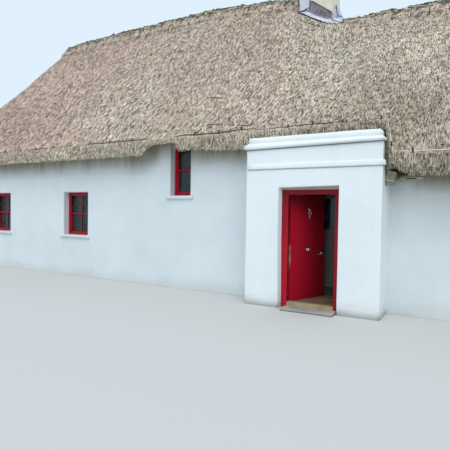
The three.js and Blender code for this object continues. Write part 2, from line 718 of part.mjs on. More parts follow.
// Chimney: breast on the floor, stack through the thatch, cap and pot.
addPiece('chimney_breast', block(
  breastLeft, breastRight, breastFront, breastBack, roomFloorTop + seatGap, breastTop), 'plaster');
addPiece('chimney_stack', block(
  stackLeft, stackRight, stackFront, stackBack, breastTop + seatGap, stackTop), 'render');
addPiece('chimney_cap', block(
  stackLeft - capProjection, stackRight + capProjection, stackFront - capProjection, stackBack + capProjection,
  stackTop + seatGap, stackTop + capThickness), 'render');
const potBore = pot.footRadius - pot.wall;
const potNeckBore = pot.neckRadius - pot.wall;
const potRimFoot = pot.height - potRim.height;
const potShape = new THREE.LatheGeometry([
  [potBore, 0], [pot.footRadius, 0], [pot.footRadius, pot.footHeight], [pot.neckRadius, pot.shoulder],
  [pot.neckRadius, potRimFoot], [potRim.radius, potRimFoot + potRim.slope], [potRim.radius, pot.height],
  [potNeckBore, pot.height], [potNeckBore, pot.shoulder], [potBore, pot.footHeight], [potBore, 0],
].map(([radius, height]) => new THREE.Vector2(radius, height)), pot.sides);
potShape.rotateX(Math.PI / 2);
potShape.translate(
  (stackLeft + stackRight) / 2, (stackFront + stackBack) / 2, stackTop + capThickness + seatGap);
addPiece('chimney_pot', potShape, 'clay');

// Lead skirt on the thatch round the stack, with an upstand against its faces.
function leadSkirt() {
  const xs = [skirtLeft, stackLeft, (stackLeft + stackRight) / 2, stackRight, skirtRight];
  const ys = [skirtFront, stackFront, ridgeY, stackBack, skirtBack];
  const surface = ys.map((y) => xs.map((x) => (
    [x, y, thatchTop(x, ridgeY - Math.abs(y - ridgeY)) + skirtThickness])));
  const skirt = solid(gridSlab(surface, lift(surface, -skirtStock)));
  const upstand = solid(drawnBack([
    [stackLeft - upstandThickness, upstandFoot], [stackRight + upstandThickness, upstandFoot],
    [stackRight + upstandThickness, upstandTopRight], [stackLeft - upstandThickness, upstandTopLeft],
  ], stackFront - upstandThickness, stackBack + upstandThickness));
  const upstandBase = solid(gridSlab(lift(surface, upstandReach), surface));
  return skirt.add(upstand.intersect(skirt.add(upstandBase))).subtract(roofCore).subtract(stackHole);
}

addPiece('lead_flashing', leadSkirt(), 'lead');

// Fittings under the right-hand eave.
const lampBody = block(
  floodLamp.left, floodLamp.right, floodLamp.front, floodLamp.back, floodLamp.bottom, floodLamp.top);
addPiece('flood_lamp', lampBody, 'lampGrey');
const armFront = floodLamp.front + bracket.armSetback;
addPiece('flood_lamp_bracket', join([
  blockSolid(seatGap, seatGap + bracket.thickness, floodLamp.front, floodLamp.front + bracket.plateWidth,
    floodLamp.bottom - bracket.plateHalfHeight, floodLamp.bottom + bracket.plateHalfHeight),
  blockSolid(seatGap, floodLamp.right, armFront, armFront + bracket.armWidth,
    floodLamp.bottom - seatGap - bracket.armThickness, floodLamp.bottom - seatGap),
]), 'lampGrey');
addPiece('eave_lamp', block(
  eaveLamp.left, eaveLamp.right, wallFront - eaveLamp.depth, wallFront - seatGap,
  eaveLamp.bottom, eaveLamp.top), 'lampGrey');

// The origin is on the ground under the middle of the whole outline.
const outlineFront = -stepProjection;
const outlineBack = 2 * ridgeY - eaveFront;
building.position.set(-(eaveLeft + eaveRight) / 2, -(outlineFront + outlineBack) / 2, 0);
building.updateMatrixWorld(true);

export default building;
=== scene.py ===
import math

import bmesh
import bpy
import numpy as np
from mathutils import Matrix, Vector


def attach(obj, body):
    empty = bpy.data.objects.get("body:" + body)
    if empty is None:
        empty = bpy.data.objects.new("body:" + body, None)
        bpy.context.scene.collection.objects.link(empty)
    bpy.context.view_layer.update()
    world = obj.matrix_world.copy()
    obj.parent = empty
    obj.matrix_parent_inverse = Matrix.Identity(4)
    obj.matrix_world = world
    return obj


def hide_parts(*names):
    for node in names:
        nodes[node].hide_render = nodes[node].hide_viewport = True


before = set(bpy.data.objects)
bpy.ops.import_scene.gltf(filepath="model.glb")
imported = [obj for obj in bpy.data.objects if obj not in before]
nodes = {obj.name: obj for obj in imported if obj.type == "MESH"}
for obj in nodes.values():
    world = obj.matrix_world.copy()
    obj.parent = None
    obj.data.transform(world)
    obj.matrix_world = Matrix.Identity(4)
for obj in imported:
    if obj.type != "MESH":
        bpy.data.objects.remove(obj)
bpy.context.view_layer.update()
siteShift = np.array([3.9, -3.385, 0.0])
print("cottage: frame loaded")


# small tools
def site(points):
    return np.asarray(points, float) + siteShift


def mix(a, b, share):
    return a + (b - a) * share


def smoothStep(share):
    share = np.clip(share, 0.0, 1.0)
    return share * share * (3 - 2 * share)


def window(value, low, high, fade):
    # 1 between low and high, easing to 0 over the fade outside them
    return smoothStep((value - low + fade) / fade) * smoothStep((high + fade - value) / fade)


lattice = {"u": 374761393, "v": 668265263, "seed": 974634777, "stir": 1274126177, "mask": 0xFFFFFFFF}


def latticeValue(iu, iv, seed):
    # the same number from 0 to 1 for the same lattice corner each time
    mixed = iu.astype(np.int64) * lattice["u"] + iv.astype(np.int64) * lattice["v"] + seed * lattice["seed"]
    mixed = mixed & lattice["mask"]
    mixed = ((mixed ^ (mixed >> 13)) * lattice["stir"]) & lattice["mask"]
    return ((mixed ^ (mixed >> 16)) & 0xFFFF) / 65535.0


def patchNoise(u, v, seed):
    # smooth noise from -1 to 1
    u, v = np.broadcast_arrays(np.asarray(u, float), np.asarray(v, float))
    iu, iv = np.floor(u), np.floor(v)
    su, sv = smoothStep(u - iu), smoothStep(v - iv)
    low = mix(latticeValue(iu, iv, seed), latticeValue(iu + 1, iv, seed), su)
    high = mix(latticeValue(iu, iv + 1, seed), latticeValue(iu + 1, iv + 1, seed), su)
    return mix(low, high, sv) * 2 - 1


def waves(u, v, layers):
    # smooth noise in layers of (height, length along u, length along v, seed)
    return sum(height * patchNoise(u / along, v / across, seed) for height, along, across, seed in layers)


def meshOf(name, vertices, faces):
    mesh = bpy.data.meshes.new(name)
    if not isinstance(faces, np.ndarray):
        mesh.from_pydata(np.asarray(vertices, float).tolist(), [], faces)
        return mesh
    mesh.vertices.add(len(vertices))
    mesh.vertices.foreach_set("co", np.asarray(vertices, np.float32).ravel())
    mesh.loops.add(faces.size)
    mesh.loops.foreach_set("vertex_index", faces.astype(np.int32).ravel())
    mesh.polygons.add(len(faces))
    mesh.polygons.foreach_set("loop_start", np.arange(0, faces.size, faces.shape[1], dtype=np.int32))
    mesh.update(calc_edges=True)
    return mesh


def writeOn(mesh, label, values):
    # a number or a place for each point of a mesh, for the finishes to read
    values = np.asarray(values, np.float32)
    kind, field = ("FLOAT", "value") if values.ndim == 1 else ("FLOAT_VECTOR", "vector")
    mesh.attributes.new(label, kind, "POINT").data.foreach_set(field, values.ravel())


def newPiece(name, vertices, faces, finish, body="house", slotName=None, smooth=True, attributes=None,
             replaces=()):
    mesh = meshOf(name, vertices, faces)
    for label, values in (attributes or {}).items():
        writeOn(mesh, label, values)
    mesh.polygons.foreach_set("use_smooth", [smooth] * len(mesh.polygons))
    mesh.materials.append(finish)
    mesh.update()
    piece = bpy.data.objects.new(name, mesh)
    bpy.context.scene.collection.objects.link(piece)
    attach(piece, body)
    if replaces:
        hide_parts(*replaces)
    return piece


def reshape(piece, soft=0.0, edgeTest=None):
    # merges doubled points, turns the faces outwards and rounds the sharp edges
    bm = bmesh.new()
    bm.from_mesh(piece.data)
    bmesh.ops.remove_doubles(bm, verts=bm.verts, dist=1e-5)
    bmesh.ops.recalc_face_normals(bm, faces=bm.faces)
    if soft:
        sharp = [e for e in bm.edges if len(e.link_faces) == 2 and e.calc_face_angle(0.0) > 0.5
                 and (edgeTest is None or edgeTest((e.verts[0].co + e.verts[1].co) / 2))]
        bmesh.ops.bevel(bm, geom=sharp, offset=soft, offset_type="OFFSET", segments=3, profile=0.5,
                        affect="EDGES", clamp_overlap=False)
    for face in bm.faces:
        face.smooth = True
    bm.to_mesh(piece.data)
    bm.free()
    if soft:
        even = piece.modifiers.new("even_shading", "WEIGHTED_NORMAL")
        even.weight = 80


def gridFaces(corners):
    # the faces between the rows and columns of a table of corner numbers
    faces = np.stack([corners[:-1, :-1], corners[:-1, 1:], corners[1:, 1:], corners[1:, :-1]], axis=-1)
    return [tuple(face) for face in faces.reshape(-1, 4).tolist()]


def loftFaces(columns, ring):
    # sides and two end faces of a tube of rings
    corners = np.arange(columns * ring).reshape(columns, ring)
    ends = [tuple(corners[0, ::-1].tolist()), tuple(corners[-1].tolist())]
    return gridFaces(np.hstack([corners, corners[:, :1]])) + ends


def joined(meshes):
    vertices, faces = [], []
    for points, corners in meshes:
        start = len(vertices)
        vertices += [tuple(point) for point in np.asarray(points, float).tolist()]
        faces += [tuple(start + corner for corner in face) for face in corners]
    return vertices, faces


def tube(path, radius, sides=7):
    # a closed round rod along a path, its radius one number or one for each point
    path = np.asarray(path, float)
    radius = np.broadcast_to(np.asarray(radius, float), (len(path),))
    tangents = np.gradient(path, axis=0)
    tangents /= np.linalg.norm(tangents, axis=1)[:, None]
    lean = np.where(np.abs(tangents[:, 2:]) < 0.9, [[0.0, 0.0, 1.0]], [[0.0, 1.0, 0.0]])
    first = np.cross(tangents, lean)
    first /= np.linalg.norm(first, axis=1)[:, None]
    second = np.cross(tangents, first)
    angles = np.linspace(0, 2 * math.pi, sides, endpoint=False)
    rings = (path[:, None] + radius[:, None, None] * (
        np.cos(angles)[None, :, None] * first[:, None] + np.sin(angles)[None, :, None] * second[:, None]))
    return rings.reshape(-1, 3), loftFaces(len(path), sides)


def turned(profile, origin, axis, sides=28):
    # a closed round solid from (radius, distance along the axis) pairs
    axis = np.asarray(axis, float)
    lean = np.array([0.0, 0.0, 1.0]) if abs(axis[2]) < 0.9 else np.array([1.0, 0.0, 0.0])
    first = np.cross(axis, lean)
    first /= np.linalg.norm(first)
    second = np.cross(axis, first)
    angles = np.linspace(0, 2 * math.pi, sides, endpoint=False)
    circle = np.cos(angles)[:, None] * first + np.sin(angles)[:, None] * second
    rings = [np.asarray(origin) + along * axis + max(radius, 1e-4) * circle for radius, along in profile]
    return np.concatenate(rings), loftFaces(len(profile), sides)


def gridLines(edges, spacing):
    # the edges of the blocks with even steps between them
    lines = []
    edges = sorted({round(float(edge), 5) for edge in edges})
    for low, high in zip(edges, edges[1:]):
        steps = max(1, round((high - low) / spacing))
        lines += list(np.linspace(low, high, steps, endpoint=False))
    return np.array(lines + [edges[-1]])


def blocksMesh(blocks, cuts=(), spacing=1.0):
    # outer faces of upright blocks less the cuts, each given as x0, x1, y0, y1, z0, z1
    solids = np.array(blocks, float)
    boxes = np.array(list(blocks) + list(cuts), float)
    lines = []
    for axis in range(3):
        low, high = solids[:, 2 * axis].min(), solids[:, 2 * axis + 1].max()
        edges = [edge for edge in boxes[:, 2 * axis:2 * axis + 2].ravel() if low <= edge <= high]
        lines.append(gridLines(edges, spacing))
    middles = [(line[1:] + line[:-1]) / 2 for line in lines]
    filled = np.zeros([len(middle) for middle in middles], bool)
    for number, box in enumerate(boxes):
        inside = [(middle > low) & (middle < high)
                  for middle, low, high in zip(middles, box[::2], box[1::2])]
        filled[np.ix_(*inside)] = number < len(blocks)
    sizes = [len(line) for line in lines]
    corners = []
    for axis in range(3):
        across, along = np.eye(3, dtype=int)[(axis + 1) % 3], np.eye(3, dtype=int)[(axis + 2) % 3]
        margins = [(1, 1) if other == axis else (0, 0) for other in range(3)]
        cells = np.moveaxis(np.pad(filled, margins), axis, 0)
        for here, there, order in ((cells[:-1], cells[1:], 1), (cells[1:], cells[:-1], -1)):
            places = np.argwhere(np.moveaxis(here & ~there, 0, axis))
            quads = np.stack([places, places + across, places + across + along, places + along], axis=1)
            corners.append(quads[:, ::order])
    corners = np.concatenate(corners)
    numbers = np.ravel_multi_index(tuple(corners.reshape(-1, 3).T), sizes)
    used, faces = np.unique(numbers, return_inverse=True)
    steps = np.unravel_index(used, sizes)
    vertices = np.stack([lines[axis][steps[axis]] for axis in range(3)], axis=1)
    return vertices, faces.reshape(-1, 4)


def blockPiece(name, blocks, finish, cuts=(), spacing=1.0, soft=0.0, shape=None, edgeTest=None,
               place=site, **facts):
    vertices, faces = blocksMesh(blocks, cuts, spacing)
    if shape:
        vertices = shape(vertices)
    piece = newPiece(name, place(vertices), faces, finish, **facts)
    reshape(piece, soft, edgeTest)
    return piece


def joinedPiece(name, meshes, finish, place=site, **facts):
    vertices, faces = joined(meshes)
    return newPiece(name, place(vertices), faces, finish, **facts)


def roundedPiece(name, meshes, finish, place=site, soft=0.0, **facts):
    piece = joinedPiece(name, meshes, finish, place, **facts)
    reshape(piece, soft)
    return piece


def moulding(path, profile):
    # a closed profile of (outward, height) points carried along a plan path, its corners mitred
    path = np.asarray(path, float)
    runs = np.diff(path, axis=0)
    runs /= np.linalg.norm(runs, axis=1)[:, None]
    sideways = np.stack([runs[:, 1], -runs[:, 0]], axis=1)
    before, after = np.vstack([sideways[:1], sideways]), np.vstack([sideways, sideways[-1:]])
    outward = (before + after) / (1 + np.sum(before * after, axis=1))[:, None]
    rings = [[(*(point + out * way), height) for out, height in profile] for point, way in zip(path, outward)]
    return np.array(rings).reshape(-1, 3), loftFaces(len(path), len(profile))


def plateBetween(lowLine, highLine, rows, thickness, crumple, seed):
    # a thin closed sheet from one line of points to another, lightly crumpled
    low, high = np.asarray(lowLine, float), np.asarray(highLine, float)
    shares = np.linspace(0, 1, rows)[:, None, None]
    grid = low[None] * (1 - shares) + high[None] * shares
    alongRow = np.gradient(grid, axis=1)
    upRow = np.gradient(grid, axis=0)
    normals = np.cross(alongRow, upRow)
    normals /= np.linalg.norm(normals, axis=2)[:, :, None] + 1e-9
    wrinkle = crumple * patchNoise(grid[..., 0] / 0.06 + grid[..., 1] / 0.05, grid[..., 2] / 0.05, seed)
    outer = grid + normals * (wrinkle + thickness / 2)[..., None]
    inner = grid + normals * (wrinkle - thickness / 2)[..., None]
    corners = np.arange(grid[..., 0].size).reshape(grid.shape[:2])
    rim = np.concatenate([corners[:, 0], corners[-1, 1:], corners[-2::-1, -1], corners[0, -2::-1]])
    # the two sides are turned opposite ways, so that the sheet is closed
    count = corners.size
    faces = gridFaces(corners) + gridFaces(corners[::-1] + count) + gridFaces(np.stack([rim, rim + count]))
    return np.concatenate([outer.reshape(-1, 3), inner.reshape(-1, 3)]), faces


# finishes
def shaderOf(material):
    return next(node for node in material.node_tree.nodes if node.type == "BSDF_PRINCIPLED")


def newFinish(name, roughness, metallic=0.0, specular=0.5):
    material = bpy.data.materials.new(name)
    material.use_nodes = True
    settings = {"Roughness": roughness, "Metallic": metallic, "Specular IOR Level": specular}
    for label, value in settings.items():
        shaderOf(material).inputs[label].default_value = value
    return material, material.node_tree


def feed(tree, socket, value):
    # joins another socket to this one, or sets a number or a colour on it
    if isinstance(value, bpy.types.NodeSocket):
        tree.links.new(value, socket)
    elif hasattr(value, "__len__"):
        socket.default_value = (*value, 1.0)
    else:
        socket.default_value = value


def noiseOf(tree, scale, detail=3.0, roughness=0.55, stretch=(1, 1, 1), attribute=None):
    # noise by a point's place, or by the place that an attribute holds
    source = tree.nodes.new("ShaderNodeAttribute" if attribute else "ShaderNodeTexCoord")
    if attribute:
        source.attribute_name = attribute
    mapping = tree.nodes.new("ShaderNodeMapping")
    mapping.inputs["Scale"].default_value = stretch
    tree.links.new(source.outputs["Vector" if attribute else "Object"], mapping.inputs["Vector"])
    node = tree.nodes.new("ShaderNodeTexNoise")
    for label, value in (("Scale", scale), ("Detail", detail), ("Roughness", roughness)):
        node.inputs[label].default_value = value
    tree.links.new(mapping.outputs["Vector"], node.inputs["Vector"])
    return node.outputs["Fac"]


def attributeOf(tree, label):
    node = tree.nodes.new("ShaderNodeAttribute")
    node.attribute_name = label
    return node.outputs["Fac"]


def heightOf(tree):
    # a point's height above the ground
    source = tree.nodes.new("ShaderNodeTexCoord")
    parts = tree.nodes.new("ShaderNodeSeparateXYZ")
    tree.links.new(source.outputs["Object"], parts.inputs[0])
    return parts.outputs["Z"]


def rampOf(tree, factor, stops):
    # a colour, or a number, for each place along the factor
    node = tree.nodes.new("ShaderNodeValToRGB")
    elements = node.color_ramp.elements
    while len(elements) < len(stops):
        elements.new(0.5)
    for element, (place, colour) in zip(elements, stops):
        element.position = place
        element.color = (*colour, 1.0) if hasattr(colour, "__len__") else (colour, colour, colour, 1.0)
    tree.links.new(factor, node.inputs["Fac"])
    return node.outputs["Color"]


def blendOf(tree, factor, first, second, kind="MIX"):
    node = tree.nodes.new("ShaderNodeMix")
    node.data_type = "RGBA"
    node.blend_type = kind
    for number, value in ((0, factor), (6, first), (7, second)):  # the colour sockets of a Mix node
        feed(tree, node.inputs[number], value)
    return node.outputs[2]


def laidOver(tree, mask, stops, base, colour, kind="MIX"):
    # a colour laid over the base as far as the ramped mask says
    return blendOf(tree, rampOf(tree, mask, stops), base, colour, kind)


def scaledSum(tree, part, times, base=0.0):
    # part * times + base
    node = tree.nodes.new("ShaderNodeMath")
    node.operation = "MULTIPLY_ADD"
    for socket, value in zip(node.inputs, (part, times, base)):
        feed(tree, socket, value)
    return node.outputs[0]


def finished(material, colour, height=None, strength=0.0, distance=0.0):
    # joins the colour and the bump to the shader
    tree, shader = material.node_tree, shaderOf(material)
    tree.links.new(colour, shader.inputs["Base Color"])
    if height is not None:
        bump = tree.nodes.new("ShaderNodeBump")
        bump.inputs["Strength"].default_value = strength
        bump.inputs["Distance"].default_value = distance
        tree.links.new(height, bump.inputs["Height"])
        tree.links.new(bump.outputs["Normal"], shader.inputs["Normal"])
    return material


def darker(colour, share):
    return tuple(share * part for part in colour)


strawColours = {
    "dark": (0.085, 0.060, 0.044), "dim": (0.34, 0.237, 0.190), "middle": (0.58, 0.423, 0.347),
    "pale": (0.95, 0.77, 0.68), "green": (0.965, 1.13, 1.08), "brown": (0.95, 0.89, 0.85),
    "shade": (0.42, 0.41, 0.37),
}
mossColours = {
    "dark": (0.040, 0.036, 0.024), "dim": (0.19, 0.15, 0.11), "middle": (0.42, 0.33, 0.27),
    "pale": (0.72, 0.62, 0.51), "green": (0.80, 0.92, 0.58), "brown": (0.95, 0.84, 0.80),
    "shade": (0.35, 0.33, 0.28),
}
strawStops = {"dark": 0.45, "dim": 0.57, "middle": 0.70, "pale": 0.90}


def strawFinish(name, colours):
    # strawTone, strawTint and strawShade are written on each mesh, and strawFlow is a place along the straw
    material, tree = newFinish(name, 0.85, specular=0.2)
    flecks = noiseOf(tree, 1.0, 1.0, 0.6, (50, 10, 1), "strawFlow")
    tone = scaledSum(tree, flecks, 0.90, scaledSum(tree, attributeOf(tree, "strawTone"), 0.50))
    colour = rampOf(tree, tone, [(place, colours[label]) for label, place in strawStops.items()])
    # painted shade in the small holes between the straws
    shadedHoles = noiseOf(tree, 1.0, 0.0, stretch=(46, 18, 1), attribute="strawFlow")
    colour = laidOver(tree, shadedHoles, [(0.26, 0.9), (0.34, 0.0)], colour, colours["dark"])
    patches = noiseOf(tree, 0.55, 3.0)
    colour = laidOver(tree, patches, [(0.35, 0.0), (0.7, 0.4)], colour, colours["brown"], "MULTIPLY")
    colour = blendOf(tree, attributeOf(tree, "strawTint"), colour, colours["green"], "MULTIPLY")
    colour = blendOf(tree, attributeOf(tree, "strawShade"), colour, colours["shade"], "MULTIPLY")
    fine = noiseOf(tree, 1.0, 2.0, stretch=(80, 14, 1), attribute="strawFlow")
    return finished(material, colour, fine, 0.5, 0.008)


thatchFinish = strawFinish("weathered_straw", strawColours)
ridgeFinish = strawFinish("mossy_ridge_straw", mossColours)

plasterColours = {
    "streak": (0.70, 0.75, 0.78), "splash": (0.52, 0.52, 0.47), "speck": (0.45, 0.44, 0.40),
    # the olive colour is damp with painted eave shade in it, and the near-black one is painted shade beside
    # the porch
    "dampAndShade": (0.215, 0.185, 0.088), "cornerShade": (0.045, 0.040, 0.020),
}


def plasterFinish(name, low, high):
    # streaked and splashed lime wash, with olive damp and painted eave shade as far as the eave attribute
    # says, the painted shade near-black beside the porch
    material, tree = newFinish(name, 0.88)
    colour = rampOf(tree, noiseOf(tree, 1.1, 4.0), [(0.3, low), (0.7, high)])
    streaks = noiseOf(tree, 1.0, 4.0, 0.6, (11, 11, 0.5))
    colour = laidOver(tree, streaks, [(0.45, 0.0), (0.75, 0.25)], colour, plasterColours["streak"])
    splash = scaledSum(tree, noiseOf(tree, 3.0), 0.35, heightOf(tree))
    colour = laidOver(tree, splash, [(0.16, 0.5), (0.42, 0.0)], colour, plasterColours["splash"])
    # painted shade and damp: the eave attribute turns the wash olive, and near-black where the painted shade
    # beside the porch is deepest
    stain = attributeOf(tree, "eaveDampAndShade")
    runs = rampOf(tree, noiseOf(tree, 1.0, 3.0, stretch=(7, 7, 1.2)), [(0.3, 0.65), (0.7, 1.0)])
    dampAndShade = rampOf(tree, scaledSum(tree, stain, 0.5), [
        (0.5, plasterColours["dampAndShade"]), (0.85, plasterColours["cornerShade"])])
    colour = blendOf(tree, scaledSum(tree, stain, runs), colour, dampAndShade)
    specks = noiseOf(tree, 26.0, 2.0)
    colour = laidOver(tree, specks, [(0.22, 0.5), (0.25, 0.0)], colour, plasterColours["speck"])
    coat = scaledSum(tree, noiseOf(tree, 5.0, 2.0), 3.0, noiseOf(tree, 55.0, 3.0))
    return finished(material, colour, coat, 0.35, 0.006)


def paintFinish(name, colour, worn, roughness, scale):
    # gloss paint, chipped where paintWear is written, with painted shade where paintShade is written
    material, tree = newFinish(name, roughness, specular=0.22)
    shade = noiseOf(tree, 4.0, 4.0, stretch=(1, 1, 0.25))
    base = rampOf(tree, shade, [(0.3, darker(colour, 0.76)), (0.65, colour)])
    chips = noiseOf(tree, scale, 5.0, 0.7, (1, 1, 0.4))
    rubbed = rampOf(tree, chips, [(0.40, 0.2), (0.55, 1.0)])
    chipped = rampOf(tree, chips, [(0.72, 0.0), (0.76, 0.7)])
    bare = scaledSum(tree, attributeOf(tree, "paintWear"), rubbed, chipped)
    painted = blendOf(tree, bare, base, worn)
    # painted shade: the paint darkens as far as paintShade says
    shadedPaint = blendOf(tree, attributeOf(tree, "paintShade"), painted, darker(colour, 0.2))
    return finished(material, shadedPaint, noiseOf(tree, 90.0, 2.0, stretch=(1, 1, 0.12)), 0.12, 0.002)


def stoneFinish(name, low, high, roughness, scale, bump, stain=None):
    material, tree = newFinish(name, roughness)
    coarse = noiseOf(tree, scale, 5.0, 0.6)
    grit = noiseOf(tree, scale * 22, 3.0)
    colour = rampOf(tree, coarse, [(0.32, low), (0.68, high)])
    colour = laidOver(tree, grit, [(0.4, 0.0), (0.75, 0.35)], colour, darker(low, 0.55))
    if stain:
        runs = noiseOf(tree, 1.0, 4.0, 0.6, (9, 9, 0.8))
        colour = laidOver(tree, runs, [(0.5, 0.0), (0.72, 0.6)], colour, stain)
    return finished(material, colour, scaledSum(tree, grit, 1.0, coarse), bump, 0.006)


def metalFinish(name, colour, roughness):
    material, tree = newFinish(name, roughness, 1.0)
    smudge = noiseOf(tree, 22.0, 4.0)
    dull = rampOf(tree, smudge, [(0.3, roughness + 0.18), (0.7, roughness)])
    tree.links.new(dull, shaderOf(material).inputs["Roughness"])
    return finished(material, rampOf(tree, smudge, [(0.35, darker(colour, 0.6)), (0.65, colour)]))


def leadFinish():
    # weathered sheet lead: a pale bloom, and purple-brown stain where leadStain is written
    material, tree = newFinish("weathered_lead", 0.45, 0.15)
    bloom = rampOf(tree, noiseOf(tree, 8.0, 5.0, 0.6), [
        (0.32, (0.43, 0.47, 0.55)), (0.66, (0.70, 0.70, 0.79))])
    marks = noiseOf(tree, 11.0, 4.0, 0.65)
    stain = rampOf(tree, marks, [
        (0.30, (0.085, 0.06, 0.055)), (0.48, (0.17, 0.14, 0.165)), (0.70, (0.34, 0.30, 0.35))])
    share = scaledSum(tree, marks, 0.5, attributeOf(tree, "leadStain"))
    colour = laidOver(tree, share, [(0.45, 0.0), (0.85, 1.0)], bloom, stain)
    return finished(material, colour, noiseOf(tree, 16.0, 3.0), 0.5, 0.01)


def glassFinish():
    material, tree = newFinish("old_window_glass", 0.07, specular=0.35)
    ripple = noiseOf(tree, 7.0, 2.0)
    colour = rampOf(tree, ripple, [(0.3, (0.008, 0.014, 0.014)), (0.7, (0.03, 0.045, 0.045))])
    return finished(material, colour, ripple, 0.12, 0.004)


def mottledFinish(name, low, high, roughness):
    material, tree = newFinish(name, roughness)
    return finished(material, rampOf(tree, noiseOf(tree, 30.0, 4.0), [(0.3, low), (0.7, high)]))


def mossFinish():
    material, tree = newFinish("ridge_moss", 0.95)
    mottle = noiseOf(tree, 45.0, 3.0, 0.7)
    colour = rampOf(tree, mottle, [
        (0.32, (0.035, 0.038, 0.022)), (0.52, (0.15, 0.15, 0.065)), (0.72, (0.42, 0.40, 0.20))])
    return finished(material, colour, mottle, 0.8, 0.012)


# the house walls have a darker copy of the porch plaster: partly a greyer wash, partly painted shade under
# the eaves
wallPlaster = plasterFinish("lime_washed_plaster", (0.64, 0.70, 0.73), (0.72, 0.775, 0.80))
plaster = plasterFinish("porch_plaster", (0.755, 0.815, 0.835), (0.83, 0.88, 0.895))
# the mouldings have a lighter copy of the porch plaster: painted light, for their tops face the sky
trimPlaster = plasterFinish("porch_trim_plaster", (0.81, 0.86, 0.86), (0.88, 0.92, 0.91))
mortar = stoneFinish("shaded_mortar", (0.40, 0.32, 0.26), (0.52, 0.42, 0.35), 0.9, 5.0, 0.2)
# painted shadow: dark plaster strips under the cornice and, fainter, under the string course
corniceShadowPaint = stoneFinish("painted_cornice_shadow", (0.17, 0.20, 0.20), (0.27, 0.31, 0.31), 0.9, 3.0, 0.1)
stringShadowPaint = stoneFinish("painted_string_shadow", (0.38, 0.42, 0.43), (0.50, 0.55, 0.56), 0.9, 3.0, 0.1)
crimson = paintFinish("crimson_gloss_paint", (0.44, 0.005, 0.022), (0.74, 0.52, 0.46), 0.42, 16.0)
greyGreen = paintFinish("grey_green_paint", (0.105, 0.095, 0.080), (0.2, 0.2, 0.18), 0.5, 12.0)
concrete = stoneFinish("worn_concrete", (0.30, 0.29, 0.26), (0.44, 0.42, 0.37), 0.92, 3.0, 0.4)
thresholdFinish = stoneFinish("worn_threshold_timber", (0.30, 0.21, 0.11), (0.50, 0.38, 0.21), 0.75, 5.0, 0.2)
lobbyFinish = stoneFinish("dark_lobby_boards", (0.13, 0.075, 0.040), (0.24, 0.15, 0.085), 0.8, 5.0, 0.2)
darkSill = stoneFinish("dark_inner_sill", (0.012, 0.014, 0.013), (0.035, 0.037, 0.034), 0.7, 6.0, 0.1)
creamRender = stoneFinish("cream_chimney_render", (0.70, 0.64, 0.50), (0.86, 0.81, 0.68), 0.92, 4.0, 0.5,
                          stain=(0.52, 0.49, 0.42))
clay = stoneFinish("weathered_clay", (0.30, 0.11, 0.05), (0.46, 0.20, 0.10), 0.85, 6.0, 0.25,
                   stain=(0.16, 0.12, 0.09))
# one lamp finish made twice: the shell darker, partly painted shade under the eave, and the lip lighter,
# painted light on the lower edge
lampShell = stoneFinish("grey_lamp_shell", (0.22, 0.21, 0.145), (0.33, 0.31, 0.22), 0.5, 9.0, 0.08)
lampEdge = stoneFinish("pale_lamp_edge", (0.50, 0.49, 0.34), (0.66, 0.64, 0.46), 0.5, 9.0, 0.08)
lensFinish = mottledFinish("frosted_lamp_lens", (0.14, 0.14, 0.095), (0.25, 0.245, 0.175), 0.3)
nickel = metalFinish("worn_nickel", (0.80, 0.77, 0.72), 0.25)
sheetLead = leadFinish()
windowGlass = glassFinish()
paleRod = mottledFinish("pale_hazel_rod", (0.50, 0.44, 0.35), (0.78, 0.72, 0.60), 0.7)
darkRod = mottledFinish("dark_hazel_rod", (0.10, 0.075, 0.05), (0.26, 0.20, 0.14), 0.7)
darkPin = mottledFinish("dark_hazel_pin", (0.02, 0.016, 0.012), (0.06, 0.05, 0.035), 0.7)
greenMoss = mossFinish()
print("cottage: finishes made")


# roof surface
roof = {
    "eaveFront": 0.15, "rodFront": 0.20, "ridgeY": 3.5,
    "eaveLeft": -12.85, "eaveRight": 5.05, "hipRun": 1.85,
    "rodHeightTall": 3.10, "rodHeightLow": 2.57,
    "eaveBottomTall": 2.80, "eaveBottomLow": 2.24, "eaveLiftByPorch": 0.09,
    "ridgeLow": 6.11, "depth": 0.49, "hipDepth": 0.74,
    "hipRounding": 0.30, "cornerRadius": 0.55, "wallY": 0.6,
}
climbRun = roof["ridgeY"] - roof["eaveFront"]
eaveBack = roof["ridgeY"] + climbRun
tallRidgeLine = [  # x and height along the tall ridge
    (-11.0, 7.04), (-10.5, 7.09), (-9.1, 7.125), (-5.4, 7.125), (-4.45, 7.05), (-3.3, 6.93), (-2.75, 6.86),
]
ridgeStep = {"left": -2.85, "right": -1.55}
eaveStep = {"leftAtEave": 0.0, "rightAtEave": 0.12, "leftAtRidge": -0.50, "rightAtRidge": 0.55}
porch = {
    "left": -2.33, "right": 0.0, "back": 0.62, "thickness": 0.28, "cornice": 0.055,
    "wallTop": 2.78, "top": 2.93, "clear": 0.006,
}
notch = {"left": -4.68, "right": -4.05, "bottom": 3.0, "leftSlope": 0.26, "rightSlope": 0.12}
tuft = {"x": notch["right"] + 0.42, "reach": 0.38, "height": 0.05}  # the eave drawn up right of the notch
mound = {"x": -1.60, "y": 3.02, "reachX": 0.55, "reachY": 0.24, "height": 0.185}  # swollen beside the stack
swell = {"x": 0.17, "reach": 0.13, "out": 0.13, "low": 2.5, "high": 3.0}  # pressed out beside the porch

ridgeSamples = np.linspace(-13.5, -1.0, 626)
ridgeHeights = np.interp(ridgeSamples, *np.array(tallRidgeLine).T)
softening = np.exp(-np.linspace(-2.5, 2.5, 41) ** 2)  # rounds the corners of the ridge line
ridgeHeights = np.convolve(np.pad(ridgeHeights, 20, "edge"), softening / softening.sum(), "valid")


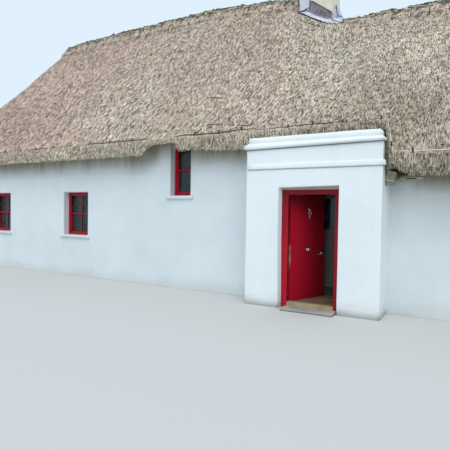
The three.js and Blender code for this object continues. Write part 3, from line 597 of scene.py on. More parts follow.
def lowShare(x, share):
    # from 0 over the tall eave to 1 over the low one
    up = np.clip(share, 0.0, 1.0)
    left = mix(eaveStep["leftAtEave"], eaveStep["leftAtRidge"], up)
    right = mix(eaveStep["rightAtEave"], eaveStep["rightAtRidge"], up)
    return smoothStep((x - left) / (right - left))


def climbShare(y):
    return (y - roof["rodFront"]) / (roof["ridgeY"] - roof["rodFront"])


def slopeTop(x, y):
    share = climbShare(y)
    stepped = smoothStep((x - ridgeStep["left"]) / (ridgeStep["right"] - ridgeStep["left"]))
    ridge = mix(np.interp(x, ridgeSamples, ridgeHeights), roof["ridgeLow"], stepped)
    rod = mix(roof["rodHeightTall"], roof["rodHeightLow"], lowShare(x, share))
    swollen = np.exp(-((x - mound["x"]) / mound["reachX"]) ** 2 - ((y - mound["y"]) / mound["reachY"]) ** 2)
    return mix(rod, ridge, share) + mound["height"] * swollen


def softMin(a, b, reach):
    share = np.clip(0.5 + 0.5 * (b - a) / reach, 0.0, 1.0)
    return mix(b, a, share) - reach * share * (1 - share)


def foldedY(x, y):
    # how far up its slope a point is, as the y of the front slope, with rounded hips
    along = roof["ridgeY"] - np.abs(y - roof["ridgeY"])
    left = roof["eaveFront"] + (x - roof["eaveLeft"]) / roof["hipRun"] * climbRun
    right = roof["eaveFront"] + (roof["eaveRight"] - x) / roof["hipRun"] * climbRun
    return softMin(softMin(along, left, roof["hipRounding"]), right, roof["hipRounding"])


reliefWaves = [(0.030, 1.5, 1.9, 3), (0.020, 0.42, 0.7, 4), (0.005, 0.10, 0.18, 5), (0.006, 0.05, 0.09, 6)]
upSlope = {"main": 1.6, "hip": 2.1}  # length up each slope for one metre in plan


def relief(x, y, isHip):
    u, v = (y, x * upSlope["hip"]) if isHip else (x, y * upSlope["main"])
    edge = smoothStep((roof["ridgeY"] - foldedY(x, y)) / 0.3)
    return waves(u, v, reliefWaves) * (0.35 + 0.65 * edge)


def skinHeight(x, y, isHip=False):
    return slopeTop(x, foldedY(x, y)) + relief(x, y, isHip)


def onPorch(x):
    return (x > porch["left"] - porch["cornice"] - 0.01) & (x < porch["right"] + 0.004)


def eaveBottomAt(x, isFront):
    bottom = mix(roof["eaveBottomTall"], roof["eaveBottomLow"], lowShare(x, 0))
    if not isFront:
        return bottom
    beside = roof["eaveBottomLow"] + roof["eaveLiftByPorch"] * (1 - smoothStep((x - 0.16) / 0.24))
    bottom = np.where(x > porch["right"], beside, roof["eaveBottomTall"])
    opened = smoothStep((x - notch["left"] + notch["leftSlope"]) / notch["leftSlope"])
    closed = smoothStep((notch["right"] + notch["rightSlope"] - x) / notch["rightSlope"])
    bottom = mix(bottom, notch["bottom"], opened * closed)
    bottom = bottom + np.exp(-((x - tuft["x"]) / tuft["reach"]) ** 2) * tuft["height"]
    return np.where(onPorch(x), np.maximum(bottom, porch["top"] + porch["clear"]), bottom)


def roundCorner(x, y):
    # draws the square eave corners in to a round plan
    radius = roof["cornerRadius"]
    x, y = np.array(x, float), np.array(y, float)
    middleX = (roof["eaveLeft"] + roof["eaveRight"]) / 2
    halfLength = (roof["eaveRight"] - roof["eaveLeft"]) / 2
    dx, dy = x - middleX, y - roof["ridgeY"]
    px = np.abs(dx) - (halfLength - radius)
    py = np.abs(dy) - (climbRun - radius)
    inside = (px > 0) & (py > 0)
    px, py = np.maximum(px, 1e-9), np.maximum(py, 1e-9)
    length = np.hypot(px, py)
    reach = length / np.maximum(px, py)
    newX = np.sign(dx) * (halfLength - radius + px / reach) + middleX
    newY = np.sign(dy) * (climbRun - radius + py / reach) + roof["ridgeY"]
    return np.where(inside, newX, x), np.where(inside, newY, y)


def pressedOut(points):
    # the thatch bulges forward beside the porch
    x, y, z = points.T
    amount = np.exp(-((x - swell["x"]) / swell["reach"]) ** 2) * smoothStep((x - 0.02) / 0.06)
    amount = amount * window(z, swell["low"], swell["high"], 0.25) * (1 - smoothStep((y - 0.15) / 0.7))
    return np.stack([x, y - swell["out"] * amount * (y < 1.0), z], axis=1)


mood = {  # places are x at the eave and x at the ridge
    "stripLeft": (-1.63, -3.0), "stripRight": (-0.60, -1.75), "right": (-1.9, -3.2), "lowRight": (-1.1, -1.6),
    "farLeft": -9.5, "tintWave": [(0.20, 1.9, 1.4, 8)], "shadeWave": [(0.12, 2.3, 1.1, 9)],
    "gap": (0.002, 0.016),  # painted shade in the gap beside the porch
}


def moodAt(x, y, z):
    # green tint and shade of the straw at a point
    share = climbShare(foldedY(x, y))
    fromLeft, toRight, right, lowRight = (
        mix(*mood[key], share) for key in ("stripLeft", "stripRight", "right", "lowRight"))
    strip = window(x, fromLeft, toRight, 0.4) * smoothStep((share + 0.1) / 0.4)
    right = smoothStep((x - right) / 0.6)
    lowRight = smoothStep((x - lowRight) / 0.6) * smoothStep((0.6 - share) / 0.4)
    rod = mix(roof["rodHeightTall"], roof["rodHeightLow"], lowShare(x, 0))
    below = smoothStep((rod - z - 0.02) / 0.06)
    gap = window(x, *mood["gap"], 0.02) * (y < roof["wallY"]) * (z < 2.92)
    tint = 0.55 * smoothStep((x - mood["farLeft"]) / 4.0) + 0.22 * right + 0.18 * strip + 0.9 * below
    shade = 0.20 - 0.10 * smoothStep((x - mood["farLeft"]) / 3.0) + 0.05 * right + 0.26 * lowRight
    shade = shade + 0.9 * gap - 0.12 * strip - below * mix(0.14, 0.05, lowRight)
    return tuple(np.clip(value + waves(x, y, mood[wave]), 0, 1)
                 for value, wave in ((tint, "tintWave"), (shade, "shadeWave")))


def underThatch(x, y):
    # a height inside the thatch, to which the walls run up
    fold = foldedY(x, y)
    onHip = fold < roof["ridgeY"] - np.abs(y - roof["ridgeY"]) - 0.05
    return slopeTop(x, fold) - np.where(onHip, 0.5, 0.25)


print("cottage: roof surface set out")


# thatch panels
panels = {
    "front": {"piece": "thatch_front", "node": "thatch_front_slope", "columns": 540, "rows": 118},
    "back": {"piece": "thatch_back", "node": "thatch_back_slope", "columns": 300, "rows": 60},
    "left": {"piece": "thatch_left_end", "node": "thatch_left_hip", "columns": 120, "rows": 64},
    "right": {"piece": "thatch_right_end", "node": "thatch_right_hip", "columns": 120, "rows": 64},
}
lip = [  # outward from the eave line, and share of the way down from the rod to the eave's bottom
    (-0.040, 0.03), (-0.014, 0.12), (0.002, 0.24), (0.012, 0.38), (0.014, 0.52), (0.010, 0.66), (0.004, 0.80),
    (-0.008, 0.92), (-0.030, 1.0),
]
stepColumns = [-0.05, -0.02, -0.008, 0.001, 0.006, 0.012, 0.020, 0.035, 0.05, 0.065, 0.08, 0.095, 0.11]
hangingLevels = (0.3, 0.6, 1.2, 2.2, 3.49)
panelWaves = {
    "ragged": [(0.010, 0.11, 1, 11), (0.008, 0.05, 1, 12)],
    "tone": [(0.28, 0.035, 0.09, 21), (0.08, 0.13, 0.2, 22)],
}


def planOf(side, across, share):
    # plan place of a point: across runs along the eave from 0 to 1, share from the eave to the ridge
    if side in ("front", "back"):
        inward = roof["hipRun"] * share
        x = mix(roof["eaveLeft"] + inward, roof["eaveRight"] - inward, across)
        y = roof["eaveFront"] + climbRun * share
        return x, (y if side == "front" else 2 * roof["ridgeY"] - y)
    x = roof["hipRun"] * share
    y = mix(roof["eaveFront"] + climbRun * share, eaveBack - climbRun * share, across)
    return (roof["eaveLeft"] + x if side == "left" else roof["eaveRight"] - x), y


def isHipSide(side):
    return side in ("left", "right")


def flowOf(x, y, z, isHip):
    return np.stack([y if isHip else x, 1.3 * z, np.zeros_like(x)], axis=1)


def thatchPanel(side):
    plan = panels[side]
    isHip = isHipSide(side)
    run, depth = (roof["hipRun"], roof["hipDepth"]) if isHip else (climbRun, roof["depth"])
    across = np.linspace(0, 1, plan["columns"])
    if side == "front":
        extra = (np.array(stepColumns) - roof["eaveLeft"]) / (roof["eaveRight"] - roof["eaveLeft"])
        across = np.sort(np.concatenate([across, extra]))
    loops = []

    def add(x, y, z):
        x, y = roundCorner(x, y)
        loops.append(np.stack([x, y, z], axis=1))

    def placesAt(share):
        return planOf(side, across, np.full_like(across, share))

    rodShare = (roof["rodFront"] - roof["eaveFront"]) / climbRun
    for share in rodShare + (1 - rodShare) * np.linspace(1, 0, plan["rows"]) ** 1.08:
        x, y = placesAt(share)
        add(x, y, skinHeight(x, y, isHip))
    x, y = placesAt(rodShare)
    rodTop = skinHeight(x, y, isHip)
    runAlong = y if isHip else x
    bottom = eaveBottomAt(placesAt(0.0)[0], side == "front") + waves(runAlong, 0, panelWaves["ragged"])
    for outward, down in lip:
        bumps = 0.009 * patchNoise(runAlong / 0.07, down * 3.5, 13)
        bumps = bumps + 0.014 * patchNoise(runAlong / 0.6, down, 14)
        x, y = planOf(side, across, -(outward + bumps) / run)
        add(x, y, mix(rodTop, bottom, down))
    for level in hangingLevels:
        x, y = placesAt((level - roof["eaveFront"]) / climbRun)
        under = slopeTop(x, np.full_like(x, max(level, roof["wallY"]))) - depth
        if level < roof["wallY"]:
            under = mix(bottom, np.maximum(under, bottom), 0.35)
        if side == "front" and level <= roof["wallY"]:
            under = np.where(onPorch(x), np.maximum(under, porch["top"] + porch["clear"]), under)
        add(x, y, under)
    grid = np.stack(loops, axis=1)
    points = grid.reshape(-1, 3)
    if side == "front":
        points = pressedOut(points)
    x, y, z = points.T
    flow = flowOf(x, y, z, isHip)
    tone = 0.5 + waves(flow[:, 0], flow[:, 1], panelWaves["tone"])
    tint, shade = moodAt(x, y, z)
    piece = newPiece(
        plan["piece"], site(points), loftFaces(*grid.shape[:2]), thatchFinish, slotName="thatch",
        replaces=[plan["node"]], attributes={
            "strawTone": np.clip(tone, 0, 1), "strawTint": tint, "strawShade": shade, "strawFlow": flow})
    reshape(piece)


for side in panels:
    thatchPanel(side)
print("cottage: thatch laid")


# loose straws
strawColumns = ("piece", "side", "span", "count", "width", "long", "spread", "seed")
strawPlans = [
    ("straw_front_left", "front", (0.0, 0.40), 26000, (0.014, 0.024), 1.6, 0.85, 101),
    ("straw_front_middle", "front", (0.40, 0.68), 27000, (0.012, 0.020), 1.4, 0.75, 102),
    ("straw_front_right", "front", (0.68, 1.0), 27000, (0.009, 0.016), 1.0, 0.58, 103),
    ("straw_back", "back", (0.0, 1.0), 14000, (0.010, 0.020), 1.3, 0.70, 104),
    ("straw_left_end", "left", (0.0, 1.0), 6000, (0.009, 0.016), 1.2, 0.65, 105),
    ("straw_right_end", "right", (0.0, 1.0), 6000, (0.009, 0.016), 1.2, 0.65, 106),
]
straw = {
    "length": (0.035, 0.09), "lift": (0.004, 0.020), "lean": 0.06, "sweep": 0.08, "tone": 0.55,
    "thick": 0.009, "sunk": 0.004, "edge": 0.02, "steepest": 2.5,
}
downWay = {"front": (0, -1), "back": (0, 1), "left": (-1, 0), "right": (1, 0)}
sideSlope = {"front": 1.22, "back": 1.22, "left": 2.1, "right": 2.1}


def strawPiece(name, side, roots, tips, normals, widths, tone):
    # one slim closed straw from each root to each tip
    sides = np.cross(tips - roots, normals)
    sides /= np.linalg.norm(sides, axis=1)[:, None] + 1e-12
    half = widths[:, None] / 2
    ridges = roots + normals * straw["thick"]
    points = np.stack([roots - sides * half, roots + sides * half, ridges, tips], axis=1)
    pattern = np.array([[0, 1, 3], [1, 2, 3], [2, 0, 3], [0, 2, 1]])
    faces = (np.arange(len(roots))[:, None, None] * 4 + pattern[None]).reshape(-1, 3)
    x, y, z = roots.T
    tint, shade = moodAt(x, y, z)
    facts = {"strawTone": np.clip(tone, 0, 1), "strawTint": tint, "strawShade": shade,
             "strawFlow": flowOf(x, y, z, isHipSide(side))}
    newPiece(name, site(points.reshape(-1, 3)), faces, thatchFinish, slotName="thatch", smooth=False,
             attributes={label: np.repeat(values, 4, axis=0) for label, values in facts.items()})


def skinNormals(x, y, height, isHip):
    small = 0.01
    beside = skinHeight(x + small, y, isHip), skinHeight(x, y + small, isHip)
    falls = np.clip([(height - other) / small for other in beside], -straw["steepest"], straw["steepest"])
    normals = np.stack([*falls, np.ones_like(x)], axis=1)
    return normals / np.linalg.norm(normals, axis=1)[:, None]


def strawsOn(plan):
    side, count = plan["side"], plan["count"]
    isHip = isHipSide(side)
    dice = np.random.default_rng(plan["seed"])
    share = 1 - np.sqrt(dice.random(count)) * 0.985 if isHip else 0.02 + 0.96 * dice.random(count)
    x, y = planOf(side, mix(*plan["span"], dice.random(count)), share)
    yaw = straw["sweep"] * patchNoise(x / 0.5, y / 0.5, 25) + straw["lean"] * dice.standard_normal(count)
    planLength = plan["long"] * dice.uniform(*straw["length"], count) / math.hypot(1, sideSlope[side])
    downX, downY = downWay[side]
    tipX = x + (downX * np.cos(yaw) - downY * np.sin(yaw)) * planLength
    tipY = y + (downX * np.sin(yaw) + downY * np.cos(yaw)) * planLength
    edge = straw["edge"]
    inside = (tipY > roof["eaveFront"] + edge) & (tipY < eaveBack - edge)
    inside &= (tipX > roof["eaveLeft"] + edge) & (tipX < roof["eaveRight"] - edge)
    x, y, tipX, tipY = x[inside], y[inside], tipX[inside], tipY[inside]
    rootZ, tipZ = skinHeight(x, y, isHip), skinHeight(tipX, tipY, isHip)
    normals = skinNormals(x, y, rootZ, isHip)
    roots = np.stack([*roundCorner(x, y), rootZ], axis=1) - normals * straw["sunk"]
    lift = dice.uniform(*straw["lift"], len(x))
    tips = np.stack([*roundCorner(tipX, tipY), tipZ], axis=1) + normals * lift[:, None]
    if side == "front":
        roots, tips = pressedOut(roots), pressedOut(tips)
    widths = dice.uniform(*plan["width"], len(x))
    tone = dice.normal(straw["tone"], plan["spread"], len(x)) + 0.08 * patchNoise(x / 0.3, y / 0.2, 26)
    strawPiece(plan["piece"], side, roots, tips, normals, widths, tone)


for row in strawPlans:
    strawsOn(dict(zip(strawColumns, row)))
print("cottage: straws scattered")


# eave fringe
fringe = {  # piece, number of straws and seed
    "front": ("eave_fringe_front", 17000, 201), "back": ("eave_fringe_back", 7500, 202),
    "left": ("eave_fringe_left", 3200, 203), "right": ("eave_fringe_right", 3200, 204),
}
fringeStraw = {
    "length": (0.045, 0.13), "width": (0.007, 0.014), "hang": 0.030, "tone": (0.54, 0.27), "shortest": 0.03,
    "belowRod": 0.012, "bulge": 0.016, "loose": 0.022, "tuckedIn": 0.03, "sway": 0.012,
}


def fringeOn(side):
    name, count, seed = fringe[side]
    isHip = isHipSide(side)
    run = roof["hipRun"] if isHip else climbRun
    span = 2 * climbRun if isHip else roof["eaveRight"] - roof["eaveLeft"]
    dice = np.random.default_rng(seed)
    across = dice.random(count)
    eaveX = planOf(side, across, np.zeros(count))[0]
    bottom = eaveBottomAt(eaveX, side == "front")
    rodTop = slopeTop(eaveX, np.full(count, roof["rodFront"]))
    level = np.clip(dice.random(count) ** 1.5 * 1.05 - 0.05, -0.05, 0.97)
    length = dice.uniform(*fringeStraw["length"], count)
    tipZ = mix(bottom, rodTop, level) - fringeStraw["hang"] * dice.random(count) * (level < 0.1)
    rootZ = np.minimum(tipZ + length, rodTop - fringeStraw["belowRod"])
    keep = rootZ - tipZ > fringeStraw["shortest"]
    if side == "front":  # none through the coping, down the porch's side or over the flood lamp
        keep &= ~(onPorch(eaveX) & (tipZ < porch["top"] + 0.004))
        keep &= ~((eaveX > -0.01) & (eaveX < 0.006) & (tipZ < porch["top"]))
        keep &= ~((eaveX > 0.0) & (eaveX < 0.20) & (tipZ < 2.315))
    across, rootZ, tipZ, level = across[keep], rootZ[keep], tipZ[keep], level[keep]
    count = len(across)
    bulge = fringeStraw["bulge"] * (1 - (2 * level - 0.9) ** 2)
    outTip = bulge + dice.uniform(0.0, fringeStraw["loose"], count) - fringeStraw["tuckedIn"] * (level < 0.05)
    sway = dice.normal(0, fringeStraw["sway"], count) / span
    rootX, rootY = roundCorner(*planOf(side, across, -(bulge - 0.004) / run))
    endX, endY = roundCorner(*planOf(side, across + sway, -outTip / run))
    roots = np.stack([rootX, rootY, rootZ], axis=1)
    tips = np.stack([endX, endY, tipZ], axis=1)
    if side == "front":
        roots, tips = pressedOut(roots), pressedOut(tips)
    normals = np.broadcast_to(np.array([*downWay[side], 0.0]), roots.shape)
    widths = dice.uniform(*fringeStraw["width"], count)
    tone = dice.normal(*fringeStraw["tone"], count) + 0.12 * (level < 0.12)
    strawPiece(name, side, tips - normals * straw["sunk"], roots, normals, widths, tone)  # cut end down


for side in fringe:
    fringeOn(side)
print("cottage: eave fringe hung")


# ridge rolls, with their rods, pins and moss
ridgeRoll = {
    "halfWidth": 0.33, "thick": 0.075, "crest": 0.05, "columns": 0.035, "crossings": 26, "under": 0.09,
}
ridgeRuns = {"left": (-11.07, -2.71), "right": (-1.68, 3.27)}
ridgeWaves = {
    "knobs": [(0.022, 0.15, 0.14, 32), (0.012, 0.06, 0.07, 33)],
    "tone": [(0.38, 0.05, 0.06, 34)], "tint": [(0.5, 0.5, 0.2, 35)],
}


def rollTop(x, offset):
    edge = 1 - (np.abs(offset) / ridgeRoll["halfWidth"]) ** 3
    soft = np.sqrt(offset ** 2 + ridgeRoll["crest"] ** 2) - 0.35 * ridgeRoll["crest"]
    knobs = waves(x, offset, ridgeWaves["knobs"]) * (0.3 + 0.7 * edge)
    return slopeTop(x, roof["ridgeY"] - soft) + ridgeRoll["thick"] * (0.08 + 0.92 * edge) + knobs


def ridgeOn(side):
    start, end = ridgeRuns[side]
    xs = np.linspace(start, end, int(abs(end - start) / ridgeRoll["columns"]))
    halfWidth = ridgeRoll["halfWidth"]
    upper, lower = [], []
    for offset in np.linspace(-halfWidth, halfWidth, ridgeRoll["crossings"]):
        outwards = np.sign(offset)
        ragged = 0.016 * patchNoise(xs / 0.07, 3.0 * outwards, 31) * (abs(offset) / halfWidth) ** 6
        top = rollTop(xs, offset)
        under = slopeTop(xs, np.full_like(xs, roof["ridgeY"] - abs(offset))) - ridgeRoll["under"]
        upper.append(np.stack([xs, roof["ridgeY"] + offset + outwards * ragged, top], axis=1))
        lower.append(np.stack([xs, np.full_like(xs, roof["ridgeY"] + offset), under], axis=1))
    grid = np.stack(upper + lower[::-1], axis=1)
    x, y, z = grid.reshape(-1, 3).T
    away = np.abs(y - roof["ridgeY"]) / halfWidth
    shares = {
        "strawTone": 0.16 + 0.42 * away + waves(x, y, ridgeWaves["tone"]),
        "strawTint": 1.15 - 2.4 * away + waves(x, y, ridgeWaves["tint"]),
        "strawShade": 0.35 * window(away, 0.94, 1.2, 0.1),
    }
    attributes = {label: np.clip(values, 0, 1) for label, values in shares.items()}
    attributes["strawFlow"] = np.stack([x, 1.6 * y, 0 * z], axis=1)
    piece = newPiece(
        "ridge_roll_" + side, site(grid.reshape(-1, 3)), loftFaces(*grid.shape[:2]), ridgeFinish,
        slotName="ridge_thatch", replaces=["ridge_cap_" + side], attributes=attributes)
    reshape(piece)


for side in ridgeRuns:
    ridgeOn(side)


moss = {
    "perMetre": 44, "size": (0.014, 0.038), "height": 0.55, "middle": -0.045, "spread": 0.065,
    "wobble": 0.22, "seed": 401,
}


def layMoss():
    bm = bmesh.new()
    bmesh.ops.create_icosphere(bm, subdivisions=2, radius=1.0)
    ball = np.array([tuple(v.co) for v in bm.verts])
    corners = np.array([[v.index for v in f.verts] for f in bm.faces])
    bm.free()
    dice = np.random.default_rng(moss["seed"])
    cushions, faces = [], []
    for start, end in ridgeRuns.values():
        for x in dice.uniform(start, end, int((end - start) * moss["perMetre"])):
            offset = dice.normal(moss["middle"], moss["spread"])
            size = dice.uniform(*moss["size"])
            wobble = 1 + moss["wobble"] * dice.standard_normal(len(ball))[:, None]
            stretch = np.array([1.0 + dice.random(), 0.9, moss["height"]]) * size
            top = float(rollTop(np.array([x]), np.array([offset]))[0])
            faces.append(corners + len(cushions) * len(ball))
            cushions.append(np.array([x, roof["ridgeY"] + offset, top]) + ball * wobble * stretch)
    newPiece("ridge_moss", site(np.concatenate(cushions)), np.concatenate(faces), greenMoss,
             slotName="ridge_thatch")


layMoss()

ridgeRods = {
    "offsets": (-0.285, -0.12, 0.12, 0.285), "radius": 0.010, "length": 1.9, "sway": 0.014,
    "pinSpacing": 0.36, "pinRadius": 0.011, "seed": 402,
}
pinShape = {  # a staple over the rod
    "across": np.array([-0.035, -0.014, 0.014, 0.035]), "lift": np.array([-0.02, 0.018, 0.018, -0.02]),
}


def layRidgeRods():
    dice = np.random.default_rng(ridgeRods["seed"])
    rodsMade, pinsMade = [], []
    for start, end in ridgeRuns.values():
        for offset in ridgeRods["offsets"]:
            x = start + 0.06
            while x < end - 0.5:
                stop = min(x + ridgeRods["length"] * dice.uniform(0.8, 1.15), end - 0.05)
                xs = np.linspace(x, stop, 14)
                sway = offset + ridgeRods["sway"] * patchNoise(xs / 0.5, offset * 9, 403)
                path = np.stack([xs, roof["ridgeY"] + sway, rollTop(xs, sway) + 0.006], axis=1)
                rodsMade.append(tube(path, ridgeRods["radius"], 6))
                x = stop + dice.uniform(-0.1, 0.05)
            spots = np.arange(start + 0.1, end - 0.1, ridgeRods["pinSpacing"]) + dice.uniform(-0.06, 0.06)
            for x in spots:
                xs = np.full(4, x + dice.uniform(-0.03, 0.03))
                across = offset + pinShape["across"]
                path = np.stack([xs, roof["ridgeY"] + across, rollTop(xs, across) + pinShape["lift"]], axis=1)
                pinsMade.append(tube(path, ridgeRods["pinRadius"], 5))
    joinedPiece("ridge_rods", rodsMade, paleRod, slotName="ridge_thatch")
    joinedPiece("ridge_pins", pinsMade, darkPin, slotName="ridge_thatch")


layRidgeRods()
print("cottage: ridge rolled, pinned and mossed")


# rods and pins on the slopes
rods = {
    "radius": 0.012, "pinRadius": 0.013, "pinSpacing": 0.62, "wander": [(0.012, 0.7, 1, 41)],
    "proud": 0.014, "twigLift": 0.012, "pinLean": 0.02, "seed": 404,
}
shownPins = [-3.57, -3.03, -2.53, -1.62, -1.18, -0.67, -0.07, 0.44, 0.85]
strayTwigs = {  # short sticks lying on the straw: plan ends
    "dark": [(-3.36, 0.37, -3.05, 0.35), (-2.66, 0.28, -2.38, 0.26), (-3.81, 0.97, -3.42, 0.93),
             (-2.55, 2.91, -2.05, 2.94)],
    "pale": [(-4.63, 0.25, -4.52, 0.24), (-4.30, 0.22, -3.62, 0.21), (-5.6, 0.26, -4.9, 0.23)],
}


def eaveRod(side, start, end):
    # points just outside the rod line of one eave
    along = np.linspace(start, end, max(3, int(abs(end - start) / 0.12)))
    rodLine = roof["rodFront"] - rods["proud"]
    onRodLine = np.full_like(along, roof["rodFront"])
    if isHipSide(side):
        inward = (rodLine - roof["eaveFront"]) / climbRun * roof["hipRun"]
        edge = roof["eaveLeft"] + inward if side == "left" else roof["eaveRight"] - inward
        x, y = np.full_like(along, edge), along
        z = slopeTop(x, onRodLine)
    else:
        isFront = side == "front"
        x, y = along, np.full_like(along, rodLine if isFront else 2 * roof["ridgeY"] - rodLine)
        z = skinHeight(x, onRodLine if isFront else 2 * roof["ridgeY"] - onRodLine)
    points = np.stack([*roundCorner(x, y), z + waves(along, 0, rods["wander"])], axis=1)
    return pressedOut(points) if side == "front" else points


def pinAt(path, distance, out, lean):
    lengths = np.concatenate([[0], np.cumsum(np.linalg.norm(np.diff(path, axis=0), axis=1))])
    point = np.array([np.interp(distance, lengths, path[:, axis]) for axis in range(3)])
    top = point + np.array([lean, 0, 0.035]) + out * 0.006
    tail = point + np.array([-lean, 0, -0.050]) + out * 0.004
    return np.array([top - out * 0.03, top, point + out * 0.020, tail, tail - out * 0.02])


rodRuns = {  # side, and where each rod starts and ends along it
    "tall": ("front", [(-12.15, -7.9), (-7.8, -4.7), (-4.05, -0.04)]), "low": ("front", [(0.004, 4.45)]),
    "back": ("back", [(-12.15, -6.5), (-6.4, -0.05), (0.14, 4.45)]),
    "left": ("left", [(0.75, 6.25)]), "right": ("right", [(0.75, 6.25)]),
}


def layEaveRods():
    dice = np.random.default_rng(rods["seed"])
    pins = []
    for place, (side, runs) in rodRuns.items():
        out = np.array([*downWay[side], 0.0])
        paths = [eaveRod(side, start, end) for start, end in runs]
        joinedPiece("eave_rods_" + place, [tube(path, rods["radius"]) for path in paths],
                    paleRod if place == "low" else darkRod, slotName="thatch")
        for path in paths:
            length = np.linalg.norm(np.diff(path, axis=0), axis=1).sum()
            spots = np.arange(0.12, length, rods["pinSpacing"])
            if side == "front":
                shown = [x for x in shownPins if path[0, 0] < x < path[-1, 0]]
                beyond = [x for x in path[0, 0] + spots if not -4.0 < x < 1.2]
                spots = np.array(shown + beyond) - path[0, 0]
            for spot in spots:
                pins.append(pinAt(path, spot, out, dice.uniform(-rods["pinLean"], rods["pinLean"])))
    joinedPiece("eave_pins", [tube(pin, rods["pinRadius"], 6) for pin in pins], darkPin, slotName="thatch")
    for tone, twigs in strayTwigs.items():
        made = []
        for x0, y0, x1, y1 in twigs:
            x, y = np.linspace(x0, x1, 9), np.linspace(y0, y1, 9)
            path = np.stack([x, y, skinHeight(x, y) + rods["twigLift"]], axis=1)
            made.append(tube(path, rods["radius"], 6))
        joinedPiece("loose_twigs_" + tone, made, darkRod if tone == "dark" else paleRod, slotName="thatch")


layEaveRods()
print("cottage: rods and pins set")


# plastered walls
walls = {
    "left": -12.4, "right": 4.6, "front": roof["wallY"], "back": 6.4, "thickness": 0.6, "stockTop": 4.6,
    "spacing": 0.16, "soft": 0.022, "sillOut": 0.06, "sillLap": 0.08, "sillHeight": 0.07,
    "waves": [(0.0021, 0.9, 0.7, 52), (0.0009, 0.3, 0.3, 53)], "proud": 0.003,
}
frontWindows = {  # left, right, sill and head
    "left_far": (-10.80, -9.95, 1.00, 2.05), "left_near": (-7.80, -6.95, 1.00, 2.05),
    "high": (-4.47, -3.95, 1.95, 3.05), "right": (2.25, 3.10, 0.95, 2.00),
}
backWindows = {
    "back_left": (-10.80, -9.95, 1.00, 2.05), "back_middle": (-6.40, -5.55, 1.00, 2.05),
    "back_right": (1.50, 2.35, 0.95, 2.00),
}
windowWalls = ((frontWindows, walls["front"], -1), (backWindows, walls["back"], 1))
innerDoorway = {"left": -1.66, "right": -0.66, "head": 2.05}
dampAndShadeGrid = [(0.05, 2.08), (0.19, 2.20), (0.33, 2.32)]  # blocks in the wall that refine its grid by the porch, where the painted shade is written
hair = 1e-4  # a point this close to a face lies on it


def paintOn(piece, label, amount):
    # writes an attribute worked out from each point's own place on the site
    points = np.array([tuple(v.co) for v in piece.data.vertices]) - siteShift
    writeOn(piece.data, label, amount(*points.T))


def eaveDampAndShade(x, y, z):
    # olive damp and painted shade under the eaves, deepest at the top of the wall and beside the porch, with
    # a faint tail of painted shade on the low front wall
    low = np.where(y < roof["ridgeY"], eaveBottomAt(x, True), eaveBottomAt(x, False))
    ragged = 0.05 * patchNoise(x / 0.3 + y / 0.4, 0, 51)
    outside = np.abs(y - roof["ridgeY"]) > walls["back"] - roof["ridgeY"] - 0.03
    outside = outside | (x < walls["left"] + 0.02) | (x > walls["right"] - 0.02)
    # painted shade, deeper close under the eave beside the porch
    corner = window(x, -0.05, 0.24, 0.10) * smoothStep((z - 2.10) / 0.12) * (y < 1.5)
    # painted shade: a faint tail of the eave's shade down the low front wall
    faint = 0.19 * smoothStep((z - 0.85) / 1.05) * (x > 0) * (y < 1.5)
    return np.maximum(smoothStep((z - low + 0.40 + ragged) / 0.46) * (1 + 0.9 * corner), faint) * outside


def houseShape(points):
    x, y, z = points.T
    z = np.minimum(z, underThatch(x, y))
    face = (np.abs(y - walls["front"]) < hair) | (np.abs(y - walls["back"]) < hair)
    out = np.where(y < 3, -1.0, 1.0)
    return np.stack([x, y + face * out * (walls["proud"] + waves(x, z, walls["waves"])), z], axis=1)


def shownWallEdge(middle):
    # true for an edge that is well below the thatch
    x, y, z = np.array(middle) - siteShift
    return 0.02 < z < min(3.04, float(underThatch(x, y)) - 0.15)


def houseWalls():
    left, right, front, back, thick = (walls[key] for key in ("left", "right", "front", "back", "thickness"))
    top = walls["stockTop"]
    blocks = [
        (left, right, front, front + thick, 0, top), (left, right, back - thick, back, 0, top),
        (left, left + thick, front, back, 0, top), (right - thick, right, front, back, 0, top),
    ]
    blocks += [(x, x + 0.07, front, front + thick, z, z + 0.06) for x, z in dampAndShadeGrid]
    cuts = [(innerDoorway["left"], innerDoorway["right"], front - 0.1, front + thick + 0.1,
             -0.1, innerDoorway["head"])]
    lap = walls["sillLap"]
    for openings, face, out in windowWalls:
        through = sorted((face + out * 0.01, face - out * (thick + 0.01)))
        ledge = sorted((face + out * walls["sillOut"], face - out * 0.02))
        for x0, x1, sill, head in openings.values():
            cuts.append((x0, x1, *through, sill, head))
            blocks.append((x0 - lap, x1 + lap, *ledge, sill - walls["sillHeight"], sill))
    piece = blockPiece(
        "plastered_walls", blocks, plaster, cuts, walls["spacing"], walls["soft"], houseShape, shownWallEdge,
        slotName="white_plaster", replaces=[
            "front_wall_left", "front_wall_over_doorway", "front_wall_right", "back_wall",
            "left_end_wall", "right_end_wall"])
    piece.data.materials[0] = wallPlaster
    paintOn(piece, "eaveDampAndShade", eaveDampAndShade)


houseWalls()

porchFront = {
    "doorLeft": -1.655, "doorRight": -0.669, "doorHead": 2.05, "soft": 0.020, "spacing": 0.13,
    "splay": 0.056, "headRise": 0.020, "wave": 0.004, "sideWave": 0.003,
}


